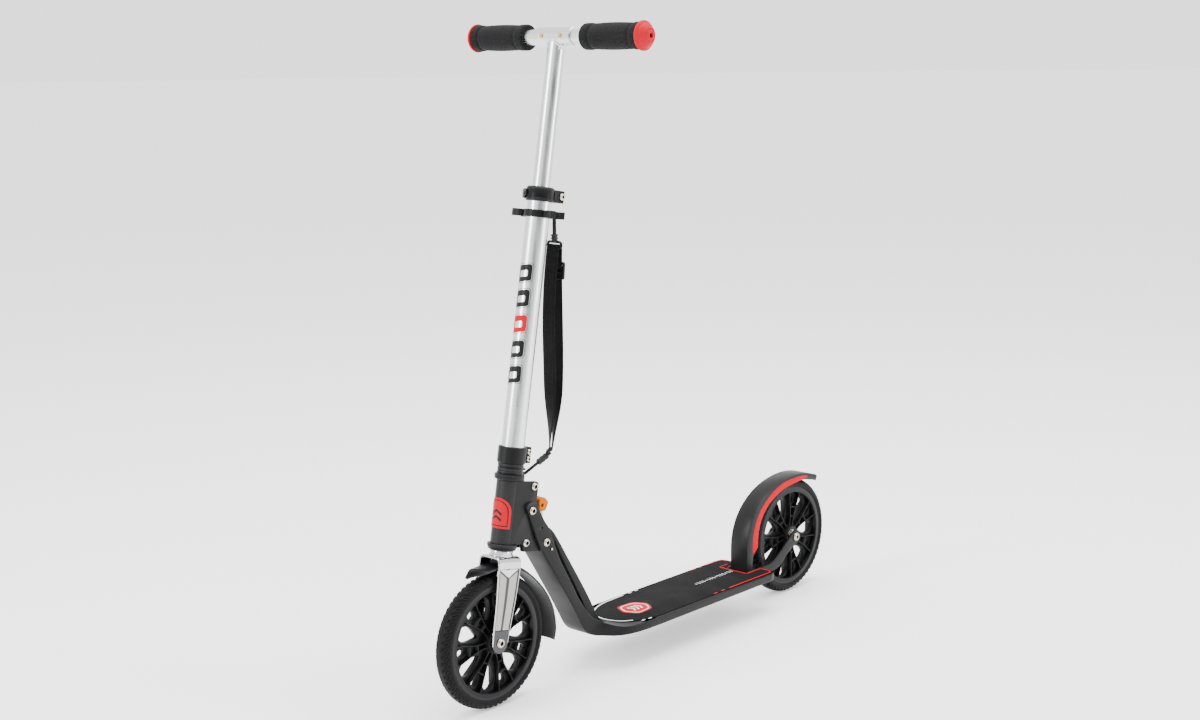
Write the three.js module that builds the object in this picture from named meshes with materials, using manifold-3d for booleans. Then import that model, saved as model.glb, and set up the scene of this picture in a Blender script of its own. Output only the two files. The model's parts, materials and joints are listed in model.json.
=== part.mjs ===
// Folding kick scooter with two large wheels, in millimetres.
// Frame: +Z up, the scooter rolls towards -Y, its left side is +X. The origin is on the ground,
// midway between the two axles. Everything that turns with the handlebar is placed in the stem's
// own frame: z runs up the steering axis from axle height, y points to the rider.
import * as THREE from 'three';
import { mergeVertices } from 'three/addons/utils/BufferGeometryUtils.js';
import Module from 'manifold-3d';

const wasm = await Module();
wasm.setup();

// ---------- driving dimensions ----------
const GAP = 0.3;               // between pieces that rest on each other
const RUN = 0.25;              // radial clearance of a turning or sliding fit
const CUT = 1;                 // how far a cutting tool runs past the face it cuts

const WHEEL_R = 100;
const TYRE_W = 28;
const TYRE_DEPTH = 15;         // radial height of the tyre
const RIM_DEPTH = 7;
const SPOKE_PAIRS = 7;
const SPOKE_PAIR_ANGLE = 21;   // between the outer ends of a pair's two legs
const SPOKE_PHASE = 28;        // first pair, from +Y towards +Z
const HUB_R = 17;
const HUB_W = 30;
const BEARING_R = 11;
const BEARING_W = 7;
const AXLE_R = 4;
const WHEELBASE = 717.4;
const SEGMENTS = 36;           // round the wheels
const ROUND = 20;              // round tubes and collars
const FINE = 12;               // round bolts and pins

const RAKE = THREE.MathUtils.degToRad(10.46);
const FORK_OFFSET = 2.8;       // axle ahead of the steering axis
const FORK_PLATE = 3;
const FORK_SIDE_GAP = 4;       // tyre to fork leg
const FORK_TOP_DEPTH = 45;     // leg, front to rear, at the crown
const FORK_TIP_R = 15.5;
const CROWN_CLEARANCE = 24;    // tyre to the top of the crown
const STEERER_R = 14;
const STEERER_WALL = 2.2;
const STEERER_IN_TUBE = 55;    // steerer above the bottom of the stem clamp
const STEERER_FIT = 0.4;       // steerer inside the outer tube

const RACE_H = 8.4;
const RACE_R = 17;
const LOWER_CUP_H = 9;
const HEAD_TUBE_L = 92.6;
const HEAD_TUBE_R = 18;
const HEAD_TUBE_WALL = 2.2;
const UPPER_CUP_H = 13;
const CUP_R = 22;
const HEAD_BEARING_H = 6;
const STRAP_RING_H = 10.8;
const STRAP_RING_INSET = 1.8;  // stem clamp's outside to the strap ring's
const CLAMP_H = 23.7;
const CLAMP_WALL = 3.5;
const OUTER_TUBE_R = 17;
const OUTER_TUBE_WALL = 2.6;
const OUTER_TUBE_L = 393;
const BUSH_WALL = 1.4;
const BUSH_L = 40;
const COLLAR_H = 20.8;
const COLLAR_WALL = 3;
const COLLAR_LIP = 5;          // collar above the end of the outer tube
const HOLDER_DROP = 12.5;      // collar to grip holder
const HOLDER_H = 10.5;
const HOLDER_WALL = 3.4;
const CLIP_WALL = 2.6;
const CLIP_SINK = 1.7;         // clip's ring into the holder's body
const CLIP_GRIP = 1.6;         // each lip inside the handle's radius

const STEM_OUT = 200;          // collar to the centre of the crossbar, pulled out
const INNER_TUBE_R = 12.7;
const INNER_TUBE_WALL = 1.6;
const INNER_TUBE_IN = 112;     // inner tube below the top of the collar
const CROSSBAR_R = 14.3;
const CROSSBAR_L = 69;
const HANDLE_R = 11.1;
const HANDLE_WALL = 2;
const BUTTON_R = 3.2;
const BUTTON_X = 18.4;
const BUTTON_TRAVEL = 3;
const BAR_HALF = 177.2;
const GRIP_START = 56.5;
const GRIP_L = 104.5;
const GRIP_R = 19;
const CAP_R = 20.8;

const BRACKET_HALF = 18;       // outside of the bracket's cheeks
const CHEEK = 7;
const ARM = 4.2;               // neck arm, beside the bracket
const PIVOT = { y: 32, z: 192 };        // fold pivot, in the stem's frame
const PIVOT_R = 4;
const SCREW = { y: 35.4, z: 226.7 };    // short screw of each cheek
const LOCK = { y: 30.4, z: 144.3 };     // lock pin
const LEVER = { y: 69.1, z: 144.3 };    // pivot of the fold lever
const ARM_END_R = 13;
const SPINE_HALF = 14;

const DECK_TOP = 69;
const TAPE = 0.8;
const DECK_EDGE = 13;          // height of the side face
const DECK_PANEL = 5;          // thickness over the channels below
const DECK_HALF = 60;
const NECK_REACH = 139.62;     // fold pivot to the front end of the deck
const TAPE_BACK = 32;          // front end of the deck to the grip tape
const CHANNELS = 3;            // hollows under the deck
const DECK_RIB = 5;
const NOTCH_HALF = 24.5;
const NOTCH_TO_AXLE = 140.7;   // front of the notch to the rear axle
const NOTCH_DEPTH = 38;
const BRAKE_PIN_R = 2.5;
const BRAKE_PIN_BACK = 17;     // notch to brake pin
const DROPOUT = 4;
const FENDER_HALF = 18.3;
const FENDER_WALL = 3;
const TYRE_GAP = 5;            // tyre to fender

// ---------- solids ----------
const wholeTurn = 2 * Math.PI;

function solid(geometry) {
  const bare = geometry.clone();
  bare.deleteAttribute('normal');
  bare.deleteAttribute('uv');
  const merged = mergeVertices(bare, 1e-4);
  const make = (triVerts) => new wasm.Manifold(new wasm.Mesh({
    numProp: 3,
    vertProperties: new Float32Array(merged.attributes.position.array),
    triVerts,
  }));
  const index = new Uint32Array(merged.index.array);
  const made = make(index);
  if (made.volume() > 0) return made;
  for (let i = 0; i < index.length; i += 3) [index[i], index[i + 1]] = [index[i + 1], index[i]];
  return make(index);
}

function join(...pieces) {
  return pieces.reduce((whole, piece) => whole.add(piece));
}

function cut(body, ...tools) {
  return tools.reduce((rest, tool) => rest.subtract(tool), body);
}

// cylinder along z
function rod(r, z0, z1, segments = FINE) {
  const geometry = new THREE.CylinderGeometry(r, r, z1 - z0, segments);
  geometry.rotateX(Math.PI / 2).translate(0, 0, (z0 + z1) / 2);
  return solid(geometry);
}

function tube(r, wall, z0, z1, segments = ROUND) {
  return cut(rod(r, z0, z1, segments), rod(r - wall, z0 - CUT, z1 + CUT, segments));
}

// cylinder along x through (y, z)
function crossRod(r, x0, x1, y = 0, z = 0, segments = FINE) {
  const geometry = new THREE.CylinderGeometry(r, r, x1 - x0, segments);
  geometry.rotateZ(Math.PI / 2).translate((x0 + x1) / 2, y, z);
  return solid(geometry);
}

function block(x0, x1, y0, y1, z0, z1) {
  const geometry = new THREE.BoxGeometry(x1 - x0, y1 - y0, z1 - z0);
  return solid(geometry.translate((x0 + x1) / 2, (y0 + y1) / 2, (z0 + z1) / 2));
}

// body of revolution about z, from [radius, z] points that start and end on the axis
function turned(profile, segments = ROUND) {
  const points = profile.map(([r, z]) => new THREE.Vector2(r, z));
  return solid(new THREE.LatheGeometry(points, segments).rotateX(Math.PI / 2));
}

// the same about x, with [radius, x] points
function crossTurned(profile, segments = ROUND) {
  return turned(profile, segments).rotate([0, 90, 0]);
}

// outline in the x-y plane, raised along z
function slab(shape, z0, z1, curveSegments = 6) {
  const geometry = new THREE.ExtrudeGeometry(shape, { depth: z1 - z0, bevelEnabled: false, curveSegments });
  return solid(geometry.translate(0, 0, z0));
}

const sideways = new THREE.Matrix4().makeBasis(
  new THREE.Vector3(0, 1, 0), new THREE.Vector3(0, 0, 1), new THREE.Vector3(1, 0, 0));

// outline in the y-z plane, given as a shape of (y, z), running along x
function sideSlab(shape, x0, x1, curveSegments = 6) {
  const geometry = new THREE.ExtrudeGeometry(shape, { depth: x1 - x0, bevelEnabled: false, curveSegments });
  return solid(geometry.translate(0, 0, x0).applyMatrix4(sideways));
}

function polygon(points) {
  return new THREE.Shape(points.map(([a, b]) => new THREE.Vector2(a, b)));
}

// button head on the plane x, bulging to +x
function buttonHead(r, h, x, y, z) {
  return crossTurned([[0, 0], [r, 0], [r * 0.75, h], [0, h]], FINE).translate([x, y, z]);
}

// bolt along x with its head on the plane x1
function crossBolt(shankR, headR, x0, x1, y, z, headH = 3) {
  return join(crossRod(shankR, x0, x1 + headH / 2, y, z), buttonHead(headR, headH, x1, y, z));
}

// pin along x with a head on both planes +-x
function headedPin(shankR, headR, x, y, z, headH = 2.8) {
  const head = buttonHead(headR, headH, x, y, z);
  return join(crossRod(shankR, -x - headH / 2, x + headH / 2, y, z), head, head.mirror([1, 0, 0]));
}

// ---------- scene graph ----------
const scooter = new THREE.Group();
const stem = new THREE.Group();
const axleY = WHEELBASE / 2;
stem.position.set(0, -axleY + FORK_OFFSET * Math.cos(RAKE), WHEEL_R - FORK_OFFSET * Math.sin(RAKE));
stem.rotation.x = -RAKE;
scooter.add(stem);

function add(parent, name, piece, look) {
  const mesh = piece.getMesh();
  const geometry = new THREE.BufferGeometry();
  geometry.setAttribute('position', new THREE.BufferAttribute(new Float32Array(mesh.vertProperties), 3));
  geometry.setIndex(new THREE.BufferAttribute(new Uint32Array(mesh.triVerts), 1));
  geometry.computeVertexNormals();
  const made = new THREE.Mesh(geometry, new THREE.MeshStandardMaterial(look));
  made.name = name;
  parent.add(made);
}

// a point of the stem's frame, as [y, z] on the ground's frame
function fromStem(y, z) {
  const point = new THREE.Vector3(0, y, z).applyEuler(stem.rotation).add(stem.position);
  return [point.y, point.z];
}

const BLACK = { color: 0x2c2d30, roughness: 0.45, metalness: 0.3 };
const PLASTIC = { color: 0x232427, roughness: 0.5, metalness: 0 };
const SATIN = { color: 0xc9ccd0, roughness: 0.35, metalness: 0.9 };
const CHROME = { color: 0xd8dadd, roughness: 0.12, metalness: 1 };
const STEEL = { color: 0xb4b1aa, roughness: 0.3, metalness: 1 };
const FOAM = { color: 0x2b2b2d, roughness: 0.95, metalness: 0 };
const RED = { color: 0xe0232e, roughness: 0.4, metalness: 0 };
const ORANGE = { color: 0xe3932b, roughness: 0.35, metalness: 0.6 };
const BRASS = { color: 0xb98a3e, roughness: 0.3, metalness: 1 };
const RUBBER = { color: 0x27282a, roughness: 0.8, metalness: 0 };
const GRIT = { color: 0x303133, roughness: 0.95, metalness: 0 };
const WEB = { color: 0x1c1c1e, roughness: 0.9, metalness: 0 };

// ---------- heights along the steering axis ----------
const crownTop = WHEEL_R + CROWN_CLEARANCE;
const lowerCupZ = crownTop + GAP + RACE_H + GAP;
const headTubeZ = lowerCupZ + LOWER_CUP_H;
const headTubeTop = headTubeZ + HEAD_TUBE_L;
const upperCupTop = headTubeTop + GAP + UPPER_CUP_H;
const clampZ = upperCupTop + GAP + STRAP_RING_H + GAP;
const outerTubeZ = clampZ + GAP;
const outerTubeTop = outerTubeZ + OUTER_TUBE_L;
const collarTop = outerTubeTop + COLLAR_LIP;
const collarZ = collarTop - COLLAR_H;
const holderZ = collarZ - HOLDER_DROP - HOLDER_H;
const crossbarZ = collarTop + STEM_OUT + CROSSBAR_R;

// ---------- wheels ----------
const rimR = WHEEL_R - TYRE_DEPTH - GAP;
const rimInner = rimR - RIM_DEPTH;
const bearingFace = HUB_W / 2 - BEARING_W;

function tyre() {
  const half = TYRE_W / 2;
  const inner = WHEEL_R - TYRE_DEPTH;
  const tread = new THREE.Shape();
  tread.moveTo(inner, -half + 2);
  tread.lineTo(inner + 5, -half);
  tread.quadraticCurveTo(WHEEL_R - 1, -half + 2, WHEEL_R, 0);
  tread.quadraticCurveTo(WHEEL_R - 1, half - 2, inner + 5, half);
  tread.lineTo(inner, half - 2);
  tread.closePath();
  const profile = tread.getPoints(2);
  return solid(new THREE.LatheGeometry(profile, SEGMENTS).rotateZ(Math.PI / 2));
}

function hub() {
  const rimHalf = TYRE_W / 2 - 2;
  const rim = tube(rimR, RIM_DEPTH, -rimHalf, rimHalf, SEGMENTS).rotate([0, 90, 0]);
  const core = crossRod(HUB_R, -HUB_W / 2, HUB_W / 2, 0, 0, ROUND);
  const legHalf = rimHalf - 1.5;
  const legs = [];
  const spread = THREE.MathUtils.degToRad(SPOKE_PAIR_ANGLE / 2);
  const reach = rimInner + RIM_DEPTH / 3;
  for (let pair = 0; pair < SPOKE_PAIRS; pair += 1) {
    for (const side of [-1, 1]) {
      const leg = polygon([
        [HUB_R * 0.6, side * 1], [HUB_R * 0.6, side * 6],
        [reach * Math.cos(spread), side * (reach * Math.sin(spread) + 1.5)],
        [reach * Math.cos(spread), side * (reach * Math.sin(spread) - 3)],
      ]);
      const turn = SPOKE_PHASE + (pair * 360) / SPOKE_PAIRS;
      legs.push(sideSlab(leg, -legHalf, legHalf).rotate([turn, 0, 0]));
    }
  }
  const seats = crossRod(BEARING_R + GAP, bearingFace - GAP, HUB_W, 0, 0, ROUND);
  const bore = crossRod(AXLE_R + 2, -HUB_W, HUB_W);
  return cut(join(rim, core, ...legs), seats, seats.mirror([1, 0, 0]), bore);
}

function bearing(side) {
  const x0 = side > 0 ? bearingFace : -HUB_W / 2;
  const ring = crossRod(BEARING_R, x0, x0 + BEARING_W, 0, 0, ROUND);
  return cut(ring, crossRod(AXLE_R + RUN, -HUB_W, HUB_W));
}

function wheel(prefix, y) {
  const group = new THREE.Group();
  group.position.set(0, y, WHEEL_R);
  scooter.add(group);
  add(group, `${prefix}_tyre`, tyre(), RUBBER);
  add(group, `${prefix}_hub`, hub(), PLASTIC);
  add(group, `${prefix}_left_bearing`, bearing(1), STEEL);
  add(group, `${prefix}_right_bearing`, bearing(-1), STEEL);
}
wheel('front', -axleY);
wheel('rear', axleY);

// an axle bolt from the right side to the left, with its nut, outside plates at +-outside
function axle(prefix, y, outside) {
  const nutH = 5;
  const group = new THREE.Group();
  group.position.set(0, y, WHEEL_R);
  scooter.add(group);
  add(group, `${prefix}_axle_bolt`,
    crossBolt(AXLE_R, 7, -outside - nutH - 1, outside + GAP, 0, 0), STEEL);
  const nut = crossRod(7, -outside - GAP - nutH, -outside - GAP, 0, 0, 6);
  add(group, `${prefix}_axle_nut`, cut(nut, crossRod(AXLE_R + GAP, -50, 0)), STEEL);
}
const forkInside = TYRE_W / 2 + FORK_SIDE_GAP;
const forkOutside = forkInside + FORK_PLATE;
const dropoutOutside = NOTCH_HALF - GAP;
axle('front', -axleY, forkOutside);
axle('rear', axleY, dropoutOutside);

// ---------- fork ----------
const crownHalf = FORK_TOP_DEPTH / 2;
const steererTop = clampZ + STEERER_IN_TUBE;

function fork() {
  const leg = new THREE.Shape();
  leg.moveTo(-crownHalf, crownTop);
  leg.lineTo(-crownHalf, crownTop - 25);
  leg.lineTo(-FORK_TIP_R, 0);
  leg.absarc(0, 0, FORK_TIP_R, Math.PI, wholeTurn);
  leg.lineTo(crownHalf, crownTop - 25);
  leg.lineTo(crownHalf, crownTop);
  leg.closePath();
  const left = sideSlab(leg, forkInside, forkOutside);
  const crown = block(-forkOutside, forkOutside, -crownHalf, crownHalf, crownTop - FORK_PLATE, crownTop);
  const inTube = rod(OUTER_TUBE_R - OUTER_TUBE_WALL - STEERER_FIT, outerTubeZ, steererTop, ROUND);
  const steerer = join(rod(STEERER_R, crownTop - FORK_PLATE, steererTop, ROUND), inTube);
  const bore = rod(STEERER_R - STEERER_WALL, crownTop - 2 * FORK_PLATE, steererTop + CUT, ROUND);
  const axleHole = crossRod(AXLE_R + GAP, -50, 50, -FORK_OFFSET, 0);
  return cut(join(left, left.mirror([1, 0, 0]), crown, steerer), bore, axleHole);
}
add(stem, 'fork', fork(), CHROME);

function mudguard() {
  const inner = WHEEL_R + 9;
  const arc = (r, from, to) => new THREE.Path().absarc(0, 0, r, from, to).getPoints(9);
  const tail = THREE.MathUtils.degToRad(2);
  const nose = THREE.MathUtils.degToRad(108);
  const outline = new THREE.Shape([
    new THREE.Vector2((inner + 13) * Math.cos(tail), (inner + 13) * Math.sin(tail)),
    ...arc(inner + 2.5, tail + 0.5, nose),
    new THREE.Vector2(-46, inner - 1),
    new THREE.Vector2(-46, inner - 4),
    ...arc(inner, tail + 0.5, nose).reverse(),
    new THREE.Vector2((inner + 10.5) * Math.cos(tail), (inner + 10.5) * Math.sin(tail)),
  ]);
  const half = TYRE_W / 2 + 2;
  const strip = sideSlab(outline, -half, half).translate([0, -FORK_OFFSET, 0]);
  const foot = block(-8, 8, -10, 10, inner + 1, crownTop - FORK_PLATE - GAP);
  return join(strip, foot);
}
add(stem, 'front_mudguard', mudguard(), PLASTIC);

// ---------- headset ----------
function race() {
  return cut(turned([[0, 0], [RACE_R, 0], [RACE_R, 3], [RACE_R - 1.5, RACE_H], [0, RACE_H]], ROUND)
    .translate([0, 0, crownTop + GAP]), rod(STEERER_R + GAP, 0, 400, ROUND));
}
add(stem, 'crown_race', race(), CHROME);

function cup(z0, h, flip) {
  const profile = flip
    ? [[0, 0], [CUP_R - 4, 0], [CUP_R - 1, h - 6], [CUP_R, h - 5], [CUP_R, h], [0, h]]
    : [[0, 0], [CUP_R - 2, 0], [CUP_R, h - 8], [CUP_R, h - 6], [CUP_R - 4, h], [0, h]];
  const body = turned(profile, ROUND).translate([0, 0, z0]);
  return cut(body, rod(STEERER_R + 1, z0 - CUT, z0 + h + CUT, ROUND));
}
const head = new THREE.Group();
stem.add(head);
add(head, 'lower_cup', cup(lowerCupZ, LOWER_CUP_H - GAP, true), PLASTIC);
add(head, 'upper_cup', cup(headTubeTop + GAP, UPPER_CUP_H, false), PLASTIC);

const headBore = HEAD_TUBE_R - HEAD_TUBE_WALL;
function headBearing(z0) {
  return cut(rod(headBore - RUN, z0, z0 + HEAD_BEARING_H, ROUND), rod(STEERER_R + GAP, 0, 400, ROUND));
}
add(head, 'lower_head_bearing', headBearing(headTubeZ + GAP), STEEL);
add(head, 'upper_head_bearing', headBearing(headTubeTop - GAP - HEAD_BEARING_H), STEEL);

// ---------- head bracket: head tube and two cheeks ----------
const cheekInner = BRACKET_HALF - CHEEK;
function bracket() {
  const cheek = new THREE.Shape();
  cheek.moveTo(8, headTubeZ);
  cheek.lineTo(24, headTubeZ);
  cheek.lineTo(26, LOCK.z - 13.3);
  cheek.lineTo(PIVOT.y + 34, LOCK.z - 13.3);
  cheek.lineTo(PIVOT.y + 33, LOCK.z - 8);
  cheek.lineTo(50, LOCK.z + 8);
  cheek.lineTo(44, PIVOT.z + 16);
  cheek.lineTo(44.5, headTubeTop - 5);
  cheek.quadraticCurveTo(44.5, headTubeTop, 39, headTubeTop);
  cheek.lineTo(8, headTubeTop);
  cheek.closePath();
  const left = sideSlab(cheek, cheekInner, BRACKET_HALF);
  const shell = rod(HEAD_TUBE_R, headTubeZ, headTubeTop, ROUND);
  const bore = rod(headBore, headTubeZ - CUT, headTubeTop + CUT, ROUND);
  const wide = BRACKET_HALF + CUT;
  return cut(join(shell, left, left.mirror([1, 0, 0])), bore,
    crossRod(PIVOT_R + RUN, -wide, wide, PIVOT.y, PIVOT.z),
    crossRod(PIVOT_R + RUN, -wide, wide, LOCK.y, LOCK.z),
    crossRod(2.5 + RUN, -wide, wide, SCREW.y, SCREW.z));
}
add(head, 'head_bracket', bracket(), BLACK);
add(head, 'lock_pin', headedPin(PIVOT_R, 6, BRACKET_HALF + GAP, LOCK.y, LOCK.z), STEEL);
const shortScrew = crossBolt(2.5, 6, cheekInner + 1, BRACKET_HALF + GAP, SCREW.y, SCREW.z, 2.8);
add(head, 'left_bracket_screw', shortScrew, STEEL);
add(head, 'right_bracket_screw', shortScrew.mirror([1, 0, 0]), STEEL);

function badge() {
  const half = 15;
  const shield = new THREE.Shape();
  shield.moveTo(-half, 0);
  shield.lineTo(half, 0);
  shield.lineTo(half, 22);
  shield.quadraticCurveTo(half, 42, 0, 44);
  shield.quadraticCurveTo(-half, 42, -half, 22);
  shield.closePath();
  const geometry = new THREE.ExtrudeGeometry(shield, { depth: 40, bevelEnabled: false, curveSegments: 6 });
  const pad = solid(geometry.rotateX(Math.PI / 2)).translate([0, 0, headTubeZ + 23]);
  return pad.intersect(tube(HEAD_TUBE_R + GAP + 0.6, 0.6, headTubeZ, headTubeTop, ROUND));
}
add(head, 'head_badge', badge(), RED);

// ---------- stem ----------
function slotted(ring, y0, z0, z1, halfWidth = 1) {
  return cut(ring, block(-halfWidth, halfWidth, y0, y0 + 60, z0 - CUT, z1 + CUT));
}
const clampR = OUTER_TUBE_R + GAP + CLAMP_WALL;
const eyelet = { y: CUP_R + 2.3, z: upperCupTop + 2 * GAP, r: 5, h: 3 };
function strapRing() {
  const body = rod(clampR - STRAP_RING_INSET, upperCupTop + GAP, upperCupTop + GAP + STRAP_RING_H, ROUND);
  const ear = join(rod(eyelet.r, eyelet.z, eyelet.z + eyelet.h).translate([0, eyelet.y, 0]),
    block(-eyelet.r, eyelet.r, 0, eyelet.y, eyelet.z, eyelet.z + eyelet.h));
  const hole = rod(eyelet.r - 2.4, eyelet.z - CUT, eyelet.z + eyelet.h + CUT).translate([0, eyelet.y, 0]);
  return cut(join(body, ear), hole, rod(STEERER_R + GAP, 0, 400, ROUND));
}
add(stem, 'strap_ring', strapRing(), BLACK);

const clampBoltY = OUTER_TUBE_R + 9;
function stemClamp() {
  const ring = rod(clampR, clampZ, clampZ + CLAMP_H, ROUND);
  const ear = block(-8, 8, 10, OUTER_TUBE_R + 15, clampZ, clampZ + CLAMP_H);
  const band = cut(join(ring, ear), rod(OUTER_TUBE_R + GAP, clampZ - CUT, clampZ + CLAMP_H + CUT, ROUND));
  return cut(slotted(band, 10, clampZ, clampZ + CLAMP_H),
    crossRod(2.6, -20, 20, clampBoltY, clampZ + 6.5), crossRod(2.6, -20, 20, clampBoltY, clampZ + 17));
}
add(stem, 'stem_clamp', stemClamp(), BLACK);
for (const [name, z] of [['lower', 6.5], ['upper', 17]]) {
  add(stem, `${name}_clamp_bolt`, crossBolt(2.4, 4.2, -9, 8 + GAP, clampBoltY, clampZ + z, 2.5), STEEL);
}
add(stem, 'outer_tube', tube(OUTER_TUBE_R, OUTER_TUBE_WALL, outerTubeZ, outerTubeTop, ROUND), SATIN);

const bore = OUTER_TUBE_R - OUTER_TUBE_WALL;
add(stem, 'tube_bushing', cut(
  join(rod(bore - RUN, outerTubeTop - BUSH_L, outerTubeTop + GAP, ROUND),
    rod(OUTER_TUBE_R - 1, outerTubeTop + GAP, outerTubeTop + 2, ROUND)),
  rod(INNER_TUBE_R + RUN, 0, 900, ROUND)), PLASTIC);

const collarR = OUTER_TUBE_R + GAP + COLLAR_WALL;
const leverPivot = { x: -11, y: OUTER_TUBE_R + 13 };
function heightClamp() {
  const ring = rod(collarR, collarZ, collarTop, ROUND);
  const ear = block(1, 15, 12, OUTER_TUBE_R + 18, collarZ + 1, collarTop - 2);
  const farEar = block(-5, -1, 12, OUTER_TUBE_R + 16, collarZ + 1, collarTop - 2);
  const inside = rod(OUTER_TUBE_R + GAP, collarZ - CUT, outerTubeTop + 2 + GAP, ROUND);
  const mouth = rod(INNER_TUBE_R + 1, collarZ, collarTop + CUT, ROUND);
  const band = cut(join(ring, ear, farEar), inside, mouth);
  return cut(slotted(band, 8, collarZ, collarTop),
    crossRod(2.6, -20, 20, leverPivot.y, (collarZ + collarTop) / 2));
}
add(stem, 'height_clamp', heightClamp(), PLASTIC);
add(stem, 'height_clamp_bolt',
  crossBolt(2.4, 5.2, -6, 15 + GAP, leverPivot.y, (collarZ + collarTop) / 2, 1.5), STEEL);

// quick-release lever: a cam by the rear of the collar and an arm wrapped round to the front
function clampLever() {
  const r = collarR + 1.2;
  const arm = new THREE.Shape();
  const from = THREE.MathUtils.degToRad(128);
  const to = THREE.MathUtils.degToRad(238);
  arm.absarc(0, 0, r + 4, from, to);
  arm.lineTo((r + 2.5) * Math.cos(to + 0.16), (r + 2.5) * Math.sin(to + 0.16));
  arm.absarc(0, 0, r, to, from, true);
  arm.closePath();
  const cam = rod(5, collarZ + 2, collarTop - 3).translate([leverPivot.x, leverPivot.y, 0]);
  const onArm = (out, turn) => [(r + out) * Math.cos(from + turn), (r + out) * Math.sin(from + turn)];
  const link = polygon([onArm(0.6, -0.006), onArm(3.26, 0.151), [leverPivot.x - 5, leverPivot.y],
    [leverPivot.x, leverPivot.y - 4]]);
  return join(slab(arm, collarZ + 3, collarTop - 4, 8), slab(link, collarZ + 3, collarTop - 4), cam);
}
add(stem, 'clamp_lever', clampLever(), PLASTIC);

// ---------- grip holder ----------
const strapX = 9;              // the strap hangs a little left of the stem's middle
const strapLoopY = OUTER_TUBE_R + 8;
const strapLowY = OUTER_TUBE_R + 55;
function gripHolder() {
  const top = holderZ + HOLDER_H;
  let body = rod(OUTER_TUBE_R + GAP + HOLDER_WALL, holderZ, top, ROUND);
  const clipR = HANDLE_R + GAP;
  const reach = OUTER_TUBE_R + GAP + HOLDER_WALL + clipR + CLIP_WALL - CLIP_SINK;
  const lip = HANDLE_R - CLIP_GRIP;
  for (const side of [-1, 1]) {
    const x = side * reach;
    const ring = rod(clipR + CLIP_WALL, holderZ, top, ROUND).translate([x, 0, 0]);
    const hollow = rod(clipR, holderZ - CUT, top + CUT, ROUND).translate([x, 0, 0]);
    const mouthX = [x, x + side * 30].sort((a, b) => a - b);
    const mouth = block(mouthX[0], mouthX[1], -lip, lip, holderZ - CUT, top + CUT);
    body = cut(join(body, ring), hollow, mouth);
  }
  const loop = cut(block(strapX - 6, strapX + 6, 14, strapLoopY + 6, holderZ + 2, holderZ + 6),
    rod(3.7, holderZ, top).translate([strapX, strapLoopY - 0.7, 0]));
  return cut(join(body, loop), rod(OUTER_TUBE_R + GAP, holderZ - CUT, top + CUT, ROUND));
}
add(stem, 'grip_holder', gripHolder(), PLASTIC);

// ---------- carrying strap ----------
const strapTop = holderZ - 42;             // top edge of the webbing
const strapBottom = clampZ + 20;
const WEB_W = 24;
const WEB_T = 1.6;
function bar(from, to, r) {
  const path = new THREE.LineCurve3(new THREE.Vector3(...from), new THREE.Vector3(...to));
  const section = new THREE.Shape().absarc(0, 0, r, 0, wholeTurn);
  return solid(new THREE.ExtrudeGeometry(section,
    { steps: 1, bevelEnabled: false, extrudePath: path, curveSegments: 4 }));
}
const upperLoop = [strapX, strapLoopY, holderZ];
function upperHook() {
  const [x, y, z] = upperLoop;
  const hanging = new THREE.Vector3(0, Math.tan(RAKE), -1);
  const at = (drop) => [x, y + hanging.y * drop, z - drop];
  const shank = bar(at(-7.5), at(24), 2.2);
  const swivel = bar(at(24), at(31), 5);
  const ring = cut(block(x - 15, x + 15, at(36)[1] - 1.5, at(36)[1] + 1.5, z - 42, z - 30),
    block(x - 12.4, x + 12.4, at(36)[1] - 9, at(36)[1] + 9, z - 39.5, z - 34));
  return join(shank, swivel, ring);
}
add(stem, 'upper_strap_hook', upperHook(), PLASTIC);

// one strand from the upper ring, down, round the lower ring and back up, flat to the stem
function webbing() {
  const top = [upperLoop[1] + Math.tan(RAKE) * 37, holderZ - 35.2];
  const low = [strapLowY - 2, strapBottom];
  const strand = (bulge, drop, spread) => {
    const path = new THREE.CubicBezierCurve(
      new THREE.Vector2(top[0] + spread, top[1] - drop),
      new THREE.Vector2(top[0] + 10 + bulge, top[1] - 100),
      new THREE.Vector2(low[0] - 8 + bulge, low[1] + 110),
      new THREE.Vector2(low[0] + bulge * 0.5, low[1] + 4));
    return path.getPoints(10);
  };
  const ribbon = (points) => {
    const back = points.map((point) => new THREE.Vector2(point.x + WEB_T, point.y)).reverse();
    return sideSlab(new THREE.Shape([...points, ...back]), strapX - WEB_W / 2, strapX + WEB_W / 2, 1);
  };
  const front = ribbon(strand(-4, 1.2, -4.2));
  const rear = ribbon(strand(8, 1.2, 2.2));
  const wrap = (y0, y1, z) => block(strapX - WEB_W / 2, strapX + WEB_W / 2, y0, y1, z - 0.8, z + 0.8);
  return join(front, rear, wrap(top[0] - 4.2, top[0] + 3.8, top[1] - 1.2),
    wrap(low[0] - 2, low[0] + 5.6, low[1] + 4.4));
}
add(stem, 'strap_webbing', webbing(), WEB);

function slider() {
  const z = holderZ - 72;
  const y = upperLoop[1] + Math.tan(RAKE) * 72 + 1;
  const outer = block(strapX - 16, strapX + 16, y + 7, y + 10.5, z - 13, z + 13);
  return cut(outer, block(strapX - 13, strapX + 13, y, y + 20, z + 3, z + 10),
    block(strapX - 13, strapX + 13, y, y + 20, z - 10, z - 3));
}
add(stem, 'strap_slider', slider(), PLASTIC);

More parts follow.
